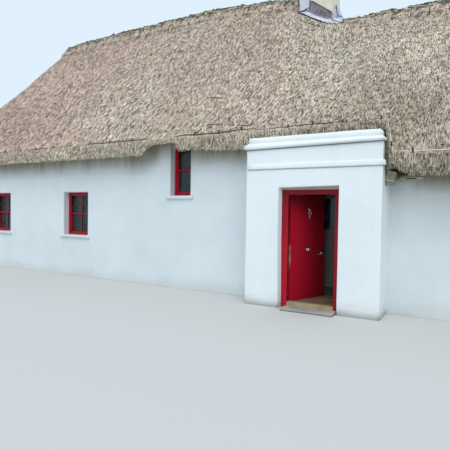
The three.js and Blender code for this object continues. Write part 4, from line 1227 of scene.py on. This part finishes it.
def porchShape(points):
    x, y, z = points.T
    y = y + (np.abs(y) < hair) * porchFront["wave"] * patchNoise(x / 0.6, z / 0.5, 54)
    side = (np.abs(x - porch["right"]) < hair) | (np.abs(x - porch["left"]) < hair)
    x = x - side * np.sign(x + 1) * porchFront["sideWave"] * (1 + patchNoise(y / 0.4, z / 0.5, 55))
    doorLeft, doorRight, doorHead = (porchFront[key] for key in ("doorLeft", "doorRight", "doorHead"))
    jamb = (np.abs(x - doorLeft) < hair) & (z < doorHead + hair)
    head = np.abs(z - doorHead) < hair
    splay = porchFront["splay"] * mix(0.5, 1, np.clip(z / 1.2, 0, 1))
    splay = splay * (1 - np.clip(y / porch["thickness"], 0, 1))
    along = np.clip((x - doorLeft) / (doorRight - doorLeft), 0, 1)
    return np.stack([x - jamb * splay, y, z + head * porchFront["headRise"] * along], axis=1)


def porchSideShade(x, y, z):
    # painted shade on the porch's side wall, close under the thatch
    return 0.45 * (y > 0.1) * (x > -0.03) * smoothStep((z - 1.95) / 0.35)


def porchWalls():
    left, right, back, thick, top = (porch[key] for key in ("left", "right", "back", "thickness", "wallTop"))
    blocks = [(left, left + thick, 0, back, 0, top), (right - thick, right, 0, back, 0, top),
              (left, right, 0, thick, 0, top)]
    cuts = [(porchFront["doorLeft"], porchFront["doorRight"], -0.1, thick + 0.1,
             -0.1, porchFront["doorHead"])]
    piece = blockPiece(
        "porch_walls", blocks, plaster, cuts, porchFront["spacing"], porchFront["soft"], porchShape,
        lambda middle: 0.02 < middle.z < 2.7, slotName="white_plaster",
        replaces=["porch_wall_left", "porch_wall_over_door", "porch_wall_right"])
    paintOn(piece, "eaveDampAndShade", porchSideShade)


def runPath(corners, spacing):
    # even steps along a plan path
    points = []
    for (x0, y0), (x1, y1) in zip(corners, corners[1:]):
        steps = max(2, int(math.hypot(x1 - x0, y1 - y0) / spacing))
        points += [(mix(x0, x1, step / steps), mix(y0, y1, step / steps)) for step in range(steps)]
    return points + [corners[-1]]


def arc(centreOut, centreHeight, radius, start, end, steps):
    angles = np.radians(np.linspace(start, end, steps))
    return [(centreOut + radius * math.cos(a), centreHeight + radius * math.sin(a)) for a in angles]


trim = {  # left and right ends drawn in, and the left and right lift of the lower edge
    "stringEnds": (0.035, 0.0), "noseEnds": (0.030, 0.028), "copingEnds": (0.048, 0.036),
    "noseLift": (0.015, 0.046), "spacing": 0.12,
}
trimProfiles = {  # outward and height
    "string": [(-0.02, 2.372), (0.012, 2.372), *arc(0.012, 2.390, 0.018, -70, 0, 4), (0.031, 2.425),
               *arc(0.011, 2.438, 0.020, 0, 80, 5), (-0.02, 2.462)],
    # a thin strip under the string course that carries its painted shadow
    "stringShadowLine": [(-0.01, 2.358), (0.006, 2.358), (0.009, 2.374), (-0.01, 2.374)],
    "nose": [(0.004, 2.700), (0.030, 2.702), (0.048, 2.706), *arc(0.037, 2.727, 0.018, -80, 0, 4),
             *arc(0.018, 2.765, 0.037, 10, 70, 5), (0.018, 2.806), (0.008, 2.812), (0.006, 2.826)],
    # a thin strip under the cornice that carries its painted shadow
    "noseShadowLine": [(-0.01, 2.684), (0.008, 2.684), (0.012, 2.706), (-0.01, 2.706)],
    "coping": [(0.004, 2.800), (0.005, 2.880), *arc(-0.035, 2.888, 0.040, 5, 80, 6), (-0.06, 2.930)],
}


def porchTrim():
    left, right, back = porch["left"], porch["right"], porch["back"] - 0.03

    def around(ends):
        start, end = left + ends[0], right - ends[1]
        return runPath([(start, back), (start, 0), (end, 0), (end, back)], trim["spacing"])

    def lifted(vertices):
        # the cornice's lower edge climbs to the right
        vertices = np.array(vertices)
        share = (vertices[:, 0] - left) / (right - left)
        vertices[:, 2] += mix(*trim["noseLift"], share) * (1 - smoothStep((vertices[:, 2] - 2.715) / 0.085))
        return vertices

    def slab(ends, profile, waviness, seed):
        # a profile carried round three sides and closed over the porch
        path = around(ends)
        vertices = lifted(moulding(path, profile)[0])
        vertices[:, 2] += waviness * patchNoise(vertices[:, 0] / 0.5, vertices[:, 1] / 0.5, seed)
        corners = np.arange(len(vertices)).reshape(len(path), len(profile))
        caps = [corners[::-1, 0], corners[:, -1], np.append(corners[0], corners[-1, ::-1])]
        return vertices, gridFaces(corners.T) + [tuple(cap.tolist()) for cap in caps]

    start = left + trim["stringEnds"][0]
    stringPath = runPath([(start, 0), (right, 0), (right, 0.08)], trim["spacing"])
    string, stringShadowLine = (moulding(stringPath, trimProfiles[label]) for label in ("string", "stringShadowLine"))
    nose = slab(trim["noseEnds"], trimProfiles["nose"], 0.002, 56)
    coping = slab(trim["copingEnds"], trimProfiles["coping"], 0.003, 57)
    noseShadowLine, faces = moulding(around((0.0, 0.0)), trimProfiles["noseShadowLine"])
    for name, mesh, finish, replaced in (
            ("porch_string", string, trimPlaster, ["porch_string_course"]),
            ("string_drip_line", stringShadowLine, stringShadowPaint, ()),
            ("porch_cornice_moulding", nose, trimPlaster, ["porch_cornice"]),
            ("porch_coping_moulding", coping, trimPlaster, ["porch_coping"]),
            ("cornice_drip_line", (lifted(noseShadowLine), faces), corniceShadowPaint, ())):
        roundedPiece(name, [mesh], finish, slotName="white_plaster", replaces=replaced)


porchWalls()
porchTrim()
print("cottage: walls and porch plastered")


# step
step = {"left": -1.565, "right": -0.684, "front": -0.18, "back": 0.12, "top": 0.045, "wear": 0.008}


def stepShape(points):
    x, y, z = points.T
    onTop = z > 0.03
    worn = step["wear"] * np.exp(-((x + 1.15) / 0.25) ** 2) * onTop
    y = y + 0.006 * patchNoise(x / 0.12, z / 0.05, 58) * (y < 0)
    return np.stack([x, y, z - worn + 0.002 * patchNoise(x / 0.1, y / 0.1, 59) * onTop], axis=1)


blockPiece("worn_doorstep", [(step["left"], step["right"], step["front"], step["back"], 0, step["top"])],
           concrete, spacing=0.05, soft=0.010, shape=stepShape, edgeTest=lambda middle: middle.z > 0.02,
           slotName="concrete", replaces=["doorstep"])


# windows
sash = {
    "frame": 0.045, "stile": 0.0336, "bar": 0.020, "rail": 0.034, "reveal": 0.16, "soft": 0.004,
    "gap": 0.0004, "frameDepth": (0.0, 0.060), "upper": (0.010, 0.034), "lower": (0.032, 0.056),
    "upperBar": (0.014, 0.030), "lowerBar": (0.036, 0.052), "barredFrom": 0.7,
}


def windowSash(name, opening, face, out):
    # a frame, and an upper sash in front of a lower one, in a wall that faces out
    x0, x1, z0, z1 = np.array(opening) + sash["gap"] * np.array([1, -1, 1, -1])
    middle = (z0 + z1) / 2
    inset, halfRail, halfBar = sash["frame"], sash["rail"] / 2, sash["bar"] / 2

    def layer(depths):
        return sorted(face - out * (sash["reveal"] + depth) for depth in depths)

    def ring(low, high, left, right, width, depths):
        y = layer(depths)
        return [(left, right, *y, low, low + width), (left, right, *y, high - width, high),
                (left, left + width, *y, low, high), (right - width, right, *y, low, high)]

    blocks = ring(z0, z1, x0, x1, inset, sash["frameDepth"])
    for low, high, depths in ((middle - halfRail, z1 - inset, sash["upper"]),
                              (z0 + inset, middle + halfRail, sash["lower"])):
        blocks += ring(low, high, x0 + inset, x1 - inset, sash["stile"], depths)
    if x1 - x0 > sash["barredFrom"]:
        bar = ((x0 + x1) / 2 - halfBar, (x0 + x1) / 2 + halfBar)
        blocks += [(*bar, *layer(sash["upperBar"]), middle, z1 - inset),
                   (*bar, *layer(sash["lowerBar"]), z0 + inset, middle)]
    blockPiece(f"window_{name}_sashes", blocks, crimson, soft=sash["soft"], slotName="crimson_paint",
               replaces=[f"window_{name}_frame"])


for openings, face, out in windowWalls:
    for name, opening in openings.items():
        windowSash(name, opening, face, out)
print("cottage: windows glazed")


# door frames: a stop in front and a rebate behind it, with the fixed halves of the hinges
hinges = {
    "front": (0.33, 1.03, 1.73), "inner": (0.42, 1.12, 1.80), "half": 0.045, "tongue": 0.014, "tip": 0.0081,
    "lap": 0.01, "knuckle": [(0.0, 0.0), (0.009, 0.0015), (0.009, 0.029), (0.0082, 0.030), (0.009, 0.031),
                             (0.009, 0.059), (0.0082, 0.060), (0.009, 0.061), (0.009, 0.0885), (0.0, 0.090)],
}
frames = {
    "front": {
        "left": -1.6546, "right": -0.6694, "head": 2.0496, "front": 0.120, "middle": 0.156, "back": 0.205,
        "stop": 0.085, "stopHead": 1.935, "rebate": 0.058, "rebateHead": 1.955, "foot": 0.0,
        "axis": (-1.595, 0.212), "wing": 0.045},
    "inner": {
        "left": -1.6596, "right": -0.6604, "head": 2.0496, "front": 1.090, "middle": 1.136, "back": 1.190,
        "stop": 0.072, "stopHead": 1.973, "rebate": 0.055, "rebateHead": 1.993, "foot": 0.1004,
        "axis": (-1.603, 1.197), "wing": 0.0},
}
rebateFoot = 0.1004  # the rebates stand on the thresholds
frameShade = {"head": 0.68, "stile": 0.30}


def doorFrame(door, name, node, finish, slotName):
    plan = frames[door]
    left, right, head = plan["left"], plan["right"], plan["head"]
    wing = (left - plan["wing"], left + 0.01)
    blocks = [(*wing, plan["front"], plan["middle"], plan["foot"], head)]
    for width, headLow, depths, foot in (
            (plan["stop"], plan["stopHead"], (plan["front"], plan["middle"]), plan["foot"]),
            (plan["rebate"], plan["rebateHead"], (plan["middle"], plan["back"]), rebateFoot)):
        blocks += [(left, left + width, *depths, foot, head), (right - width, right, *depths, foot, head),
                   (left, right, *depths, headLow, head)]
    vertices, faces = blocksMesh(blocks)
    x, y = plan["axis"]
    metal = []
    for height in hinges[door]:
        low, high = height - hinges["half"], height + hinges["half"]
        metal.append(turned(hinges["knuckle"], (x, y, low), (0, 0, 1), 16))
        metal.append(blocksMesh([(left + plan["rebate"] - 0.015, x, plan["back"] - 0.008, y, low, high)]))

    # painted shade under the frame's head and on its right-hand stile
    def shade(x, y, z):
        onHead = (z > plan["stopHead"] - 0.01) & (y > 0.1)
        return np.maximum(frameShade["head"] * onHead, frameShade["stile"] * (x > right - 0.1))

    piece = newPiece(name, site(vertices), faces, finish, slotName=slotName, replaces=[node])
    reshape(piece, 0.003)
    paintOn(piece, "paintShade", shade)
    roundedPiece(name + "_hinges", metal, finish, slotName=slotName)


doorFrame("front", "front_door_frame", "door_frame", crimson, "crimson_paint")
doorFrame("inner", "inner_doorway_frame", "inner_door_frame", greyGreen, "grey_green_paint")
blockPiece("door_head_fillet", [(-1.69, -0.66, 0.100, 0.1198, 2.018, 2.085)], mortar, spacing=0.1, soft=0.003,
           slotName="white_plaster")


# front door
door = {
    "axisX": -1.595, "axisY": 0.212, "swing": 67.0, "near": 0.012, "width": 0.848, "face": 0.049,
    "back": 0.005, "bottom": 0.108, "top": 1.945, "spacing": 0.07, "soft": 0.0025,
}


def swung(points):
    # from the closed door's own frame: along from the hinge, out from its outer face, height
    turn = math.radians(door["swing"])
    along, out, z = np.asarray(points, float).T
    x = door["axisX"] + along * math.cos(turn) + out * math.sin(turn)
    y = door["axisY"] + along * math.sin(turn) - out * math.cos(turn)
    return site(np.stack([x, y, z], axis=1))


def fromHinge(x, y):
    return np.hypot(x - door["axisX"], y - door["axisY"])


def doorWear(x, y, z):
    # rubbed paint on the hinge edge
    return 0.5 * (fromHinge(x, y) < 0.052) * window(z, 0.74, 1.02, 0.06)


def doorShade(x, y, z):
    # painted shade, darker towards the head and towards the lever
    toLever = smoothStep((fromHinge(x, y) - 0.15) / 0.65)
    return np.clip(0.50 * toLever + 0.62 * smoothStep((z - 1.50) / 0.42), 0, 0.85)


outFromDoor = (0, 1, 0)
knocker = {
    "along": 0.46, "out": 0.018, "middle": 1.628, "halfWidth": 0.030, "halfHeight": 0.044, "thick": 0.0065,
    "boss": [(0.020, 0), (0.020, 0.005), (0.014, 0.009), (0.008, 0.020), (0.0, 0.024)],
    "stud": [(0.016, 0), (0.016, 0.004), (0.010, 0.008), (0.0, 0.010)],
}
knobProfile = [
    (0.034, 0), (0.034, 0.003), (0.028, 0.006), (0.018, 0.009), (0.014, 0.013), (0.014, 0.018),
    (0.022, 0.024), (0.033, 0.030), (0.036, 0.037), (0.034, 0.045), (0.024, 0.052), (0.010, 0.055),
    (0.0, 0.0555),
]
lever = {
    "plate": (0.782, 0.818, 0.0, 0.005, 0.845, 0.920),
    "spindle": [(0.016, 0.006), (0.014, 0.010), (0.009, 0.014), (0.009, 0.040), (0.0, 0.047)],
    "grip": [(0.800, 0.040, 0.885), (0.792, 0.044, 0.886), (0.760, 0.045, 0.887), (0.720, 0.044, 0.885),
             (0.690, 0.041, 0.882), (0.678, 0.036, 0.880)],
    "gripRadii": [0.0085, 0.009, 0.0085, 0.008, 0.0075, 0.006],
}


def frontDoor():
    start, back, front = door["near"], door["back"], door["face"]
    blocks = [(start, start + width, back, front, door["bottom"], door["top"])
              for width in (door["width"], 0.012, 0.022)]  # the narrow ones refine the hinge edge
    for height in hinges["front"]:
        blocks.append((hinges["tip"], start + hinges["lap"], back, back + hinges["tongue"],
                       height - hinges["half"], height + hinges["half"]))
    leaf = blockPiece("front_door_boards", blocks, crimson, spacing=door["spacing"], soft=door["soft"],
                      place=swung, body="front_door", slotName="crimson_paint", replaces=["front_door_leaf"])
    paintOn(leaf, "paintWear", doorWear)
    paintOn(leaf, "paintShade", doorShade)
    face = front + 0.0004

    def fitting(name, meshes, node):
        roundedPiece(name, meshes, nickel, swung, body="front_door", slotName="nickel_fittings",
                     replaces=[node])

    def onFace(points):
        return np.array(points) + np.array([0.0, face, 0.0])

    along, out = knocker["along"], knocker["out"]
    angles = np.linspace(0, 2 * math.pi, 25)
    loop = onFace([(along + knocker["halfWidth"] * math.sin(angle), out,
                    knocker["middle"] - knocker["halfHeight"] * math.cos(angle)) for angle in angles])
    ball = arc(0.0, 0.0, 0.012, -90, 90, 9)
    fitting("knocker_ring", [
        turned(knocker["boss"], (0.457, face, 1.690), outFromDoor),
        tube(onFace([(0.458, 0.012, 1.692), (0.459, out, 1.672)]), 0.008, 10),
        turned(knocker["stud"], (along, face, 1.552), outFromDoor),
        tube(onFace([(along, out, 1.590), (along, 0.016, 1.560)]), 0.008, 10),
        turned(ball, (along, face + 0.016, 1.558), outFromDoor, 20),
        tube(loop, knocker["thick"], 8)], "door_knocker")
    fitting("turned_knob", [turned(knobProfile, (0.432, face, 0.974), outFromDoor, 32)], "door_knob")
    x0, x1, y0, y1, z0, z1 = lever["plate"]
    fitting("lever_and_plate", [
        blocksMesh([(x0, x1, face + y0, face + y1, z0, z1)]),
        tube(onFace(lever["grip"]), lever["gripRadii"], 12),
        turned(lever["spindle"], (0.800, face, 0.885), outFromDoor, 20)], "door_lever")


frontDoor()
print("cottage: front door hung")


# inner door
innerDoor = {
    "axisX": -1.603, "axisY": 1.197, "left": 0.012, "right": 0.880, "outer": -0.045, "back": -0.005,
    "bottom": 0.243, "top": 1.985, "stile": 0.095, "glassBottom": 1.335, "glassTop": 1.900,
    "railLow": 0.735, "railHigh": 0.845, "board": 0.078, "groove": 0.006, "boardOut": -0.036, "soft": 0.0018,
}


def innerDoorLeaf():
    plan = innerDoor
    x, y, stile = plan["axisX"], plan["axisY"], plan["stile"]
    left, right = x + plan["left"], x + plan["right"]
    outer, back, boardFace = y + plan["outer"], y + plan["back"], y + plan["boardOut"]
    start, end = left + stile, right - stile
    fields = ((plan["bottom"] + stile, plan["railLow"]), (plan["railHigh"], plan["glassBottom"] - stile))
    boards = [(low, min(low + plan["board"], end), outer - 0.01, boardFace, *heights)
              for heights in fields for low in np.arange(start, end - 0.02, plan["board"] + plan["groove"])]
    grooves = [(box[1], min(box[1] + plan["groove"], end), outer - 0.01, boardFace + 0.005, *box[4:])
               for box in boards if box[1] < end - 0.01]
    blocks = [(left, right, outer, back, plan["bottom"], plan["top"])]
    for height in hinges["inner"]:
        blocks.append((x + hinges["tip"], left + hinges["lap"], back - hinges["tongue"], back,
                       height - hinges["half"], height + hinges["half"]))
    glass = (start, end, outer - 0.01, back + 0.01, plan["glassBottom"], plan["glassTop"])
    blockPiece("inner_door_boards", blocks, greyGreen, [glass] + boards + grooves, soft=plan["soft"],
               body="inner_door", slotName="grey_green_paint", replaces=["inner_door_leaf"])


innerDoorLeaf()
print("cottage: inner door hung")


# chimney
chimney = {
    "left": -2.37, "right": -1.83, "front": 3.17, "back": 3.71, "foot": 4.6504, "top": 7.85,
    "capTop": 7.96, "capOut": 0.05, "gap": 0.0004, "wave": [(0.006, 0.22, 0.3, 61)],
}
potProfile = [
    (0.128, 0.0), (0.150, 0.002), (0.152, 0.050), (0.146, 0.062), (0.124, 0.085), (0.116, 0.115),
    (0.113, 0.200), (0.111, 0.350), (0.118, 0.366), (0.133, 0.374), (0.137, 0.395), (0.134, 0.422),
    (0.126, 0.430), (0.108, 0.428), (0.094, 0.410), (0.093, 0.110), (0.126, 0.060), (0.128, 0.0),
]


def stackShape(points):
    x, y, z = points.T
    wave = waves(x + y, z, chimney["wave"])
    return np.stack([x + wave, y + wave, z], axis=1)


def chimneyStack():
    left, right, front, back = (chimney[key] for key in ("left", "right", "front", "back"))
    blockPiece("rendered_stack", [(left, right, front, back, chimney["foot"], chimney["top"])], creamRender,
               spacing=0.11, soft=0.016, shape=stackShape, edgeTest=lambda middle: middle.z > 5.0,
               slotName="cream_render", replaces=["chimney_stack"])
    out, gap = chimney["capOut"], chimney["gap"]
    cap = (left - out, right + out, front - out, back + out, chimney["top"] + gap, chimney["capTop"])
    blockPiece("rendered_cap", [cap], creamRender, spacing=0.10, soft=0.020, shape=stackShape,
               slotName="cream_render", replaces=["chimney_cap"])
    middle = ((left + right) / 2, (front + back) / 2, chimney["capTop"] + gap)
    roundedPiece("clay_pot", [turned(potProfile, middle, (0, 0, 1), 40)], clay, slotName="clay",
                 replaces=["chimney_pot"])


chimneyStack()

# lead round the stack: stained upstand and apron in front, a saddle on the left, a folded sheet on the right
lead = {
    "out": 0.022, "bottom": 5.6, "topLeft": 6.635, "topRight": 6.228, "thick": 0.006, "crumple": 0.006,
    "apronY": 3.08, "rightEnd": -1.60, "rightBack": 3.96,
    "backLow": (-2.62, -1.62, 4.02), "backHigh": (-2.42, -1.79, 3.742),
    "saddleLeft": -2.635, "saddleFront": 3.125, "saddleBack": 3.86, "saddleTop": 6.86,
}
apronEdge = [  # x and height of the apron's lower edge
    (-2.65, 6.38), (-2.48, 6.29), (-2.31, 6.18), (-2.15, 6.10), (-2.00, 6.02), (-1.87, 5.97), (-1.72, 5.93),
    (-1.60, 5.945),
]
apronTop = [  # where the apron meets the saddle and the upstand
    (-2.63, 3.10, 6.395), (-2.52, 3.12, 6.40), (-2.45, 3.13, 6.43), (-2.38, 3.142, 6.42),
    (-2.23, 3.142, 6.30), (-2.11, 3.142, 6.24), (-1.94, 3.142, 6.15), (-1.80, 3.142, 6.11),
    (-1.60, 3.20, 6.03),
]
leadShadowLines = [  # painted shadow along the open edges of the sheets: the radius at each end, and points
    (0.013, 0.011, [(-2.660, 3.100, 6.392), (-2.52, 3.112, 6.402), (-2.463, 3.12, 6.432),
                    (-2.392, 3.13, 6.455)]),
    (0.008, 0.010, [(-2.325, 3.143, 6.600), (-2.10, 3.143, 6.431), (-1.85, 3.143, 6.243)]),
    (0.010, 0.008, [(-1.797, 3.29, 6.44), (-1.797, 3.37, 6.334), (-1.795, 3.43, 6.272), (-1.75, 3.47, 6.25),
                    (-1.705, 3.50, 6.232)]),
    (0.006, 0.006, [(-1.863, 3.125, 6.12), (-1.829, 3.11, 6.07), (-1.763, 3.11, 6.035)]),
]
apronShadowLine = {"points": 15, "at": (0, 9, 14), "radii": (0.014, 0.012, 0.003)}  # painted shadow below the apron's lower edge
nails = {"at": [14, 16, 20, 23], "radius": 0.012, "head": (0.0, -0.018, 0.008)}


def upstandShape(points):
    x, y, z = points.T
    share = (x - chimney["left"]) / (chimney["right"] - chimney["left"])
    top = mix(lead["topLeft"], lead["topRight"], share)
    z = mix(lead["bottom"], top, z - lead["bottom"])
    dent = 0.005 * patchNoise(x / 0.07 + y / 0.06, z / 0.06, 62)
    return np.stack([x + dent, y + dent - 0.002, z], axis=1)


def fineLine(points, steps):
    points = np.asarray(points, float)
    at = np.linspace(0, len(points) - 1, steps)
    return np.stack([np.interp(at, range(len(points)), column) for column in points.T], axis=1)


def apronStain(x, y, z):
    # stained where the apron meets the upstand, pale at its lower edge and on the other sheets
    low = np.interp(x, *np.array(apronEdge).T)
    high = np.interp(x, *np.array(apronTop)[:, [0, 2]].T)
    share = (z - low) / (high - low)
    return smoothStep((share - 0.25) / 0.75) * (y < 3.16) * (1 - smoothStep((x + 2.0) / 0.25))


def saddleShape(points):
    x, y, z = points.T
    share = np.clip((y - 3.10) / 0.7, 0, 1)
    foot = slopeTop(x, roof["ridgeY"] - np.abs(y - roof["ridgeY"])) - 0.06
    top = lead["saddleTop"] + 0.03 * np.sin(share * math.pi)
    dent = 0.006 * patchNoise(x / 0.08 + y / 0.1, z / 0.4, 67)
    return np.stack([x + dent, y + dent, mix(foot, top, z)], axis=1)


def onStraw(x, y, lift):
    # a line of points at a height above the straw
    x, y = np.broadcast_arrays(np.asarray(x, float), np.asarray(y, float))
    return np.stack([x, y, skinHeight(x, y) + lift], axis=1)


def leadWork():
    left, right, front, back = (chimney[key] for key in ("left", "right", "front", "back"))
    out, thick, crumple, foldX = lead["out"], lead["thick"], lead["crumple"], right + lead["out"] + 0.004
    bottom = lead["bottom"]
    upstand = blockPiece(
        "lead_upstand", [(left - out, right + out, front - out, back + out, bottom, bottom + 1)], sheetLead,
        [(left + 0.001, right - 0.001, front + 0.001, back - 0.001, bottom - 0.1, bottom + 1.1)],
        0.07, 0.004, upstandShape, lambda middle: middle.z > 5.9, slotName="lead", replaces=["lead_flashing"])
    paintOn(upstand, "leadStain", lambda x, y, z: np.where(x > right, 0.15, 0.9))

    foot = fineLine([(x, lead["apronY"], z) for x, z in apronEdge], 29)
    ys = np.linspace(lead["apronY"], lead["rightBack"], 19)
    inner, outer = onStraw(foldX, ys, 0.10), onStraw(lead["rightEnd"], ys, 0.035)
    rise = np.array([-0.003, 0.0, 0.0]) + np.array([0.0, 0.0, 1.0]) * (0.20 + 0.20 * (ys[:, None] - ys[0]))
    behind = [onStraw(np.linspace(start, end, 21), y, lift)
              for (start, end, y), lift in ((lead["backLow"], 0.02), (lead["backHigh"], 0.16))]
    sheets = [
        plateBetween(foot, fineLine(apronTop, 29), 9, thick, crumple, 63),
        plateBetween(inner, outer, 7, thick, crumple, 64),
        plateBetween(inner, inner + rise, 5, thick, crumple / 2, 65),
        plateBetween(*behind, 8, thick, crumple, 66),
    ]
    paintOn(roundedPiece("lead_sheets", sheets, sheetLead, slotName="lead"), "leadStain", apronStain)

    saddleBlock = (lead["saddleLeft"], left - out - 0.004, lead["saddleFront"], lead["saddleBack"], 0, 1)
    saddle = blockPiece(
        "lead_saddle", [saddleBlock], sheetLead, spacing=0.1, soft=0.012, shape=saddleShape,
        edgeTest=lambda middle: middle.z > 6.1, slotName="lead")
    paintOn(saddle, "leadStain", lambda x, y, z: np.full_like(x, 0.08))

    # painted shadow: dark tubes under the apron's lower edge and along the sheets' edges, with the nails
    apronShadowPath = foot + np.array([0.0, -0.004, 0.002])
    count = apronShadowLine["points"]
    dark = [tube(apronShadowPath[:count], np.interp(range(count), apronShadowLine["at"], apronShadowLine["radii"]), 6)]
    dark += [tube(fineLine(points, 12), np.linspace(start, end, 12), 6) for start, end, points in leadShadowLines]
    for place in apronShadowPath[nails["at"]]:
        dark.append(tube([place, place + np.array(nails["head"])], nails["radius"], 8))
    roundedPiece("lead_edge_and_nails", dark, darkPin, slotName="lead")


leadWork()
print("cottage: chimney and lead done")


# lamps under the right-hand eave
flood = {"pivotX": 0.080, "pivotZ": 2.212, "tilt": 16.0}
lampBlocks = {
    "shell": [(0.020, 0.136, 0.215, 0.322, 2.165, 2.280), (0.014, 0.140, 0.200, 0.225, 2.150, 2.292)],
    "mouth": (0.032, 0.128, 0.19, 0.206, 2.162, 2.264), "lip": (0.018, 0.142, 0.194, 0.330, 2.140, 2.152),
    "glass": (0.0325, 0.1275, 0.203, 0.2065, 2.1625, 2.2635),
    "arm": [(0.0004, 0.0084, 0.19, 0.31, 2.07, 2.19), (0.004, 0.130, 0.23, 0.29, 2.120, 2.1292),
            (0.124, 0.130, 0.235, 0.285, 2.120, 2.165)],
    "eaveBody": (0.165, 0.492, 0.528, 0.5996, 2.214, 2.248),
    "eaveLip": (0.163, 0.494, 0.520, 0.5996, 2.188, 2.2138),
    "eaveMouth": (0.240, 0.402, 0.51, 0.548, 2.18, 2.206),
    "eaveLens": (0.2405, 0.4015, 0.534, 0.5485, 2.1885, 2.2055),
}
lampFins = {"from": 0.032, "to": 0.126, "every": 0.014, "thick": 0.005, "rest": (0.240, 0.310, 2.272, 2.292)}
lampCable = [
    (0.10, 0.325, 2.20), (0.11, 0.37, 2.16), (0.09, 0.45, 2.12), (0.03, 0.56, 2.10), (0.006, 0.597, 2.10),
]


def tilted(points):
    # the flood lamp hangs lower at its right-hand end
    points = np.asarray(points, float).copy()
    turn = math.radians(flood["tilt"])
    dx, dz = points[:, 0] - flood["pivotX"], points[:, 2] - flood["pivotZ"]
    points[:, 0] = flood["pivotX"] + dx * math.cos(turn) + dz * math.sin(turn)
    points[:, 2] = flood["pivotZ"] - dx * math.sin(turn) + dz * math.cos(turn)
    return site(points)


def lamps():
    starts = np.arange(lampFins["from"], lampFins["to"], lampFins["every"])
    fins = [(x, x + lampFins["thick"], *lampFins["rest"]) for x in starts]
    arm = [blocksMesh([block]) for block in lampBlocks["arm"]] + [tube(fineLine(lampCable, 16), 0.004, 8)]

    def part(name, blocks, finish, cuts=(), soft=0.003, slotName="lamp_housing", **facts):
        blockPiece(name, blocks, finish, cuts, soft=soft, slotName=slotName, **facts)

    part("flood_lamp_shell", lampBlocks["shell"] + fins, lampShell, [lampBlocks["mouth"]], 0.0022,
         place=tilted, replaces=["flood_lamp"])
    part("flood_lamp_lip", [lampBlocks["lip"]], lampEdge, place=tilted)
    part("flood_lamp_glass", [lampBlocks["glass"]], lensFinish, (), 0.001, "window_glass", place=tilted)
    roundedPiece("flood_lamp_arm", arm, lampShell, soft=0.0015, slotName="lamp_housing",
                 replaces=["flood_lamp_bracket"])
    part("eave_lamp_body", [lampBlocks["eaveBody"]], lampShell, replaces=["eave_lamp"])
    part("eave_lamp_lip", [lampBlocks["eaveLip"]], lampEdge, [lampBlocks["eaveMouth"]])
    part("eave_lamp_lens", [lampBlocks["eaveLens"]], windowGlass, soft=0.002)


lamps()
print("cottage: lamps fixed")


# camera
camera = {
    "place": (5.311, -10.459, 1.625), "yaw": 30.46, "pitch": -1.67, "roll": 0.91,
    "lens": 36.0, "sensor": 36.0,
}


def setCamera():
    yaw, pitch, roll = (math.radians(camera[key]) for key in ("yaw", "pitch", "roll"))
    ahead = Vector((-math.sin(yaw) * math.cos(pitch), math.cos(yaw) * math.cos(pitch), math.sin(pitch)))
    right = Vector((math.cos(yaw), math.sin(yaw), 0.0))
    up = right.cross(ahead)
    rolledRight = right * math.cos(roll) + up * math.sin(roll)
    rolledUp = up * math.cos(roll) - right * math.sin(roll)
    data = bpy.data.cameras.new("photo_camera")
    data.lens, data.sensor_width = camera["lens"], camera["sensor"]
    data.clip_end = 500.0
    item = bpy.data.objects.new("photo_camera", data)
    bpy.context.scene.collection.objects.link(item)
    matrix = Matrix((rolledRight, rolledUp, -ahead)).transposed().to_4x4()
    matrix.translation = Vector(camera["place"])
    item.matrix_world = matrix
    bpy.context.scene.camera = item


setCamera()


# floor and light
studio = {
    "floorSize": 120.0, "floorColour": (0.62, 0.61, 0.59),
    "skyColour": (0.758, 0.886, 1.0), "skyStrength": 0.983,
    "sunColour": (1.0, 0.97, 0.92), "sunStrength": 1.2, "sunAngle": 50.0, "sunTilt": (42.0, 0.0, 28.0),
}


def setStudio():
    half = studio["floorSize"] / 2
    mesh = bpy.data.meshes.new("studio_floor")
    corners = [(-half, -half, 0), (half, -half, 0), (half, half, 0), (-half, half, 0)]
    mesh.from_pydata(corners, [], [(0, 1, 2, 3)])
    material = newFinish("studio_floor", 0.95)[0]
    shaderOf(material).inputs["Base Color"].default_value = (*studio["floorColour"], 1.0)
    mesh.materials.append(material)
    floor = bpy.data.objects.new("studio_floor", mesh)
    floor.location.z = -0.002
    bpy.context.scene.collection.objects.link(floor)
    world = bpy.data.worlds.new("studio_sky")
    world.use_nodes = True
    sky = next(n for n in world.node_tree.nodes if n.type == "BACKGROUND")
    sky.inputs["Color"].default_value = (*studio["skyColour"], 1.0)
    sky.inputs["Strength"].default_value = studio["skyStrength"]
    bpy.context.scene.world = world
    sun = bpy.data.lights.new("studio_sun", "SUN")
    sun.energy, sun.angle = studio["sunStrength"], math.radians(studio["sunAngle"])
    sun.color = studio["sunColour"]
    item = bpy.data.objects.new("studio_sun", sun)
    item.rotation_euler = [math.radians(angle) for angle in studio["sunTilt"]]
    bpy.context.scene.collection.objects.link(item)
    bpy.context.scene.view_settings.view_transform = "Standard"


setStudio()
print("cottage: camera, floor and light set")

# finishes of the nodes that keep their own shape
keptNodes = {
    "chimney_breast": plaster, "room_floor": concrete, "lobby_floor": lobbyFinish,
    "door_threshold": thresholdFinish, "inner_door_threshold": darkSill, "inner_door_glass": windowGlass,
}
keptNodes |= {f"window_{name}_glass": windowGlass for name in [*frontWindows, *backWindows]}
for node, finish in keptNodes.items():
    nodes[node].data.materials.clear()
    nodes[node].data.materials.append(finish)

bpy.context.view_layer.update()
triangles = {
    piece.name: sum(len(face.vertices) - 2 for face in piece.data.polygons)
    for piece in bpy.data.objects if piece.type == "MESH"
}
largest = sorted(triangles.items(), key=lambda item: -item[1])[:12]
print("cottage: triangles", sum(triangles.values()), largest)
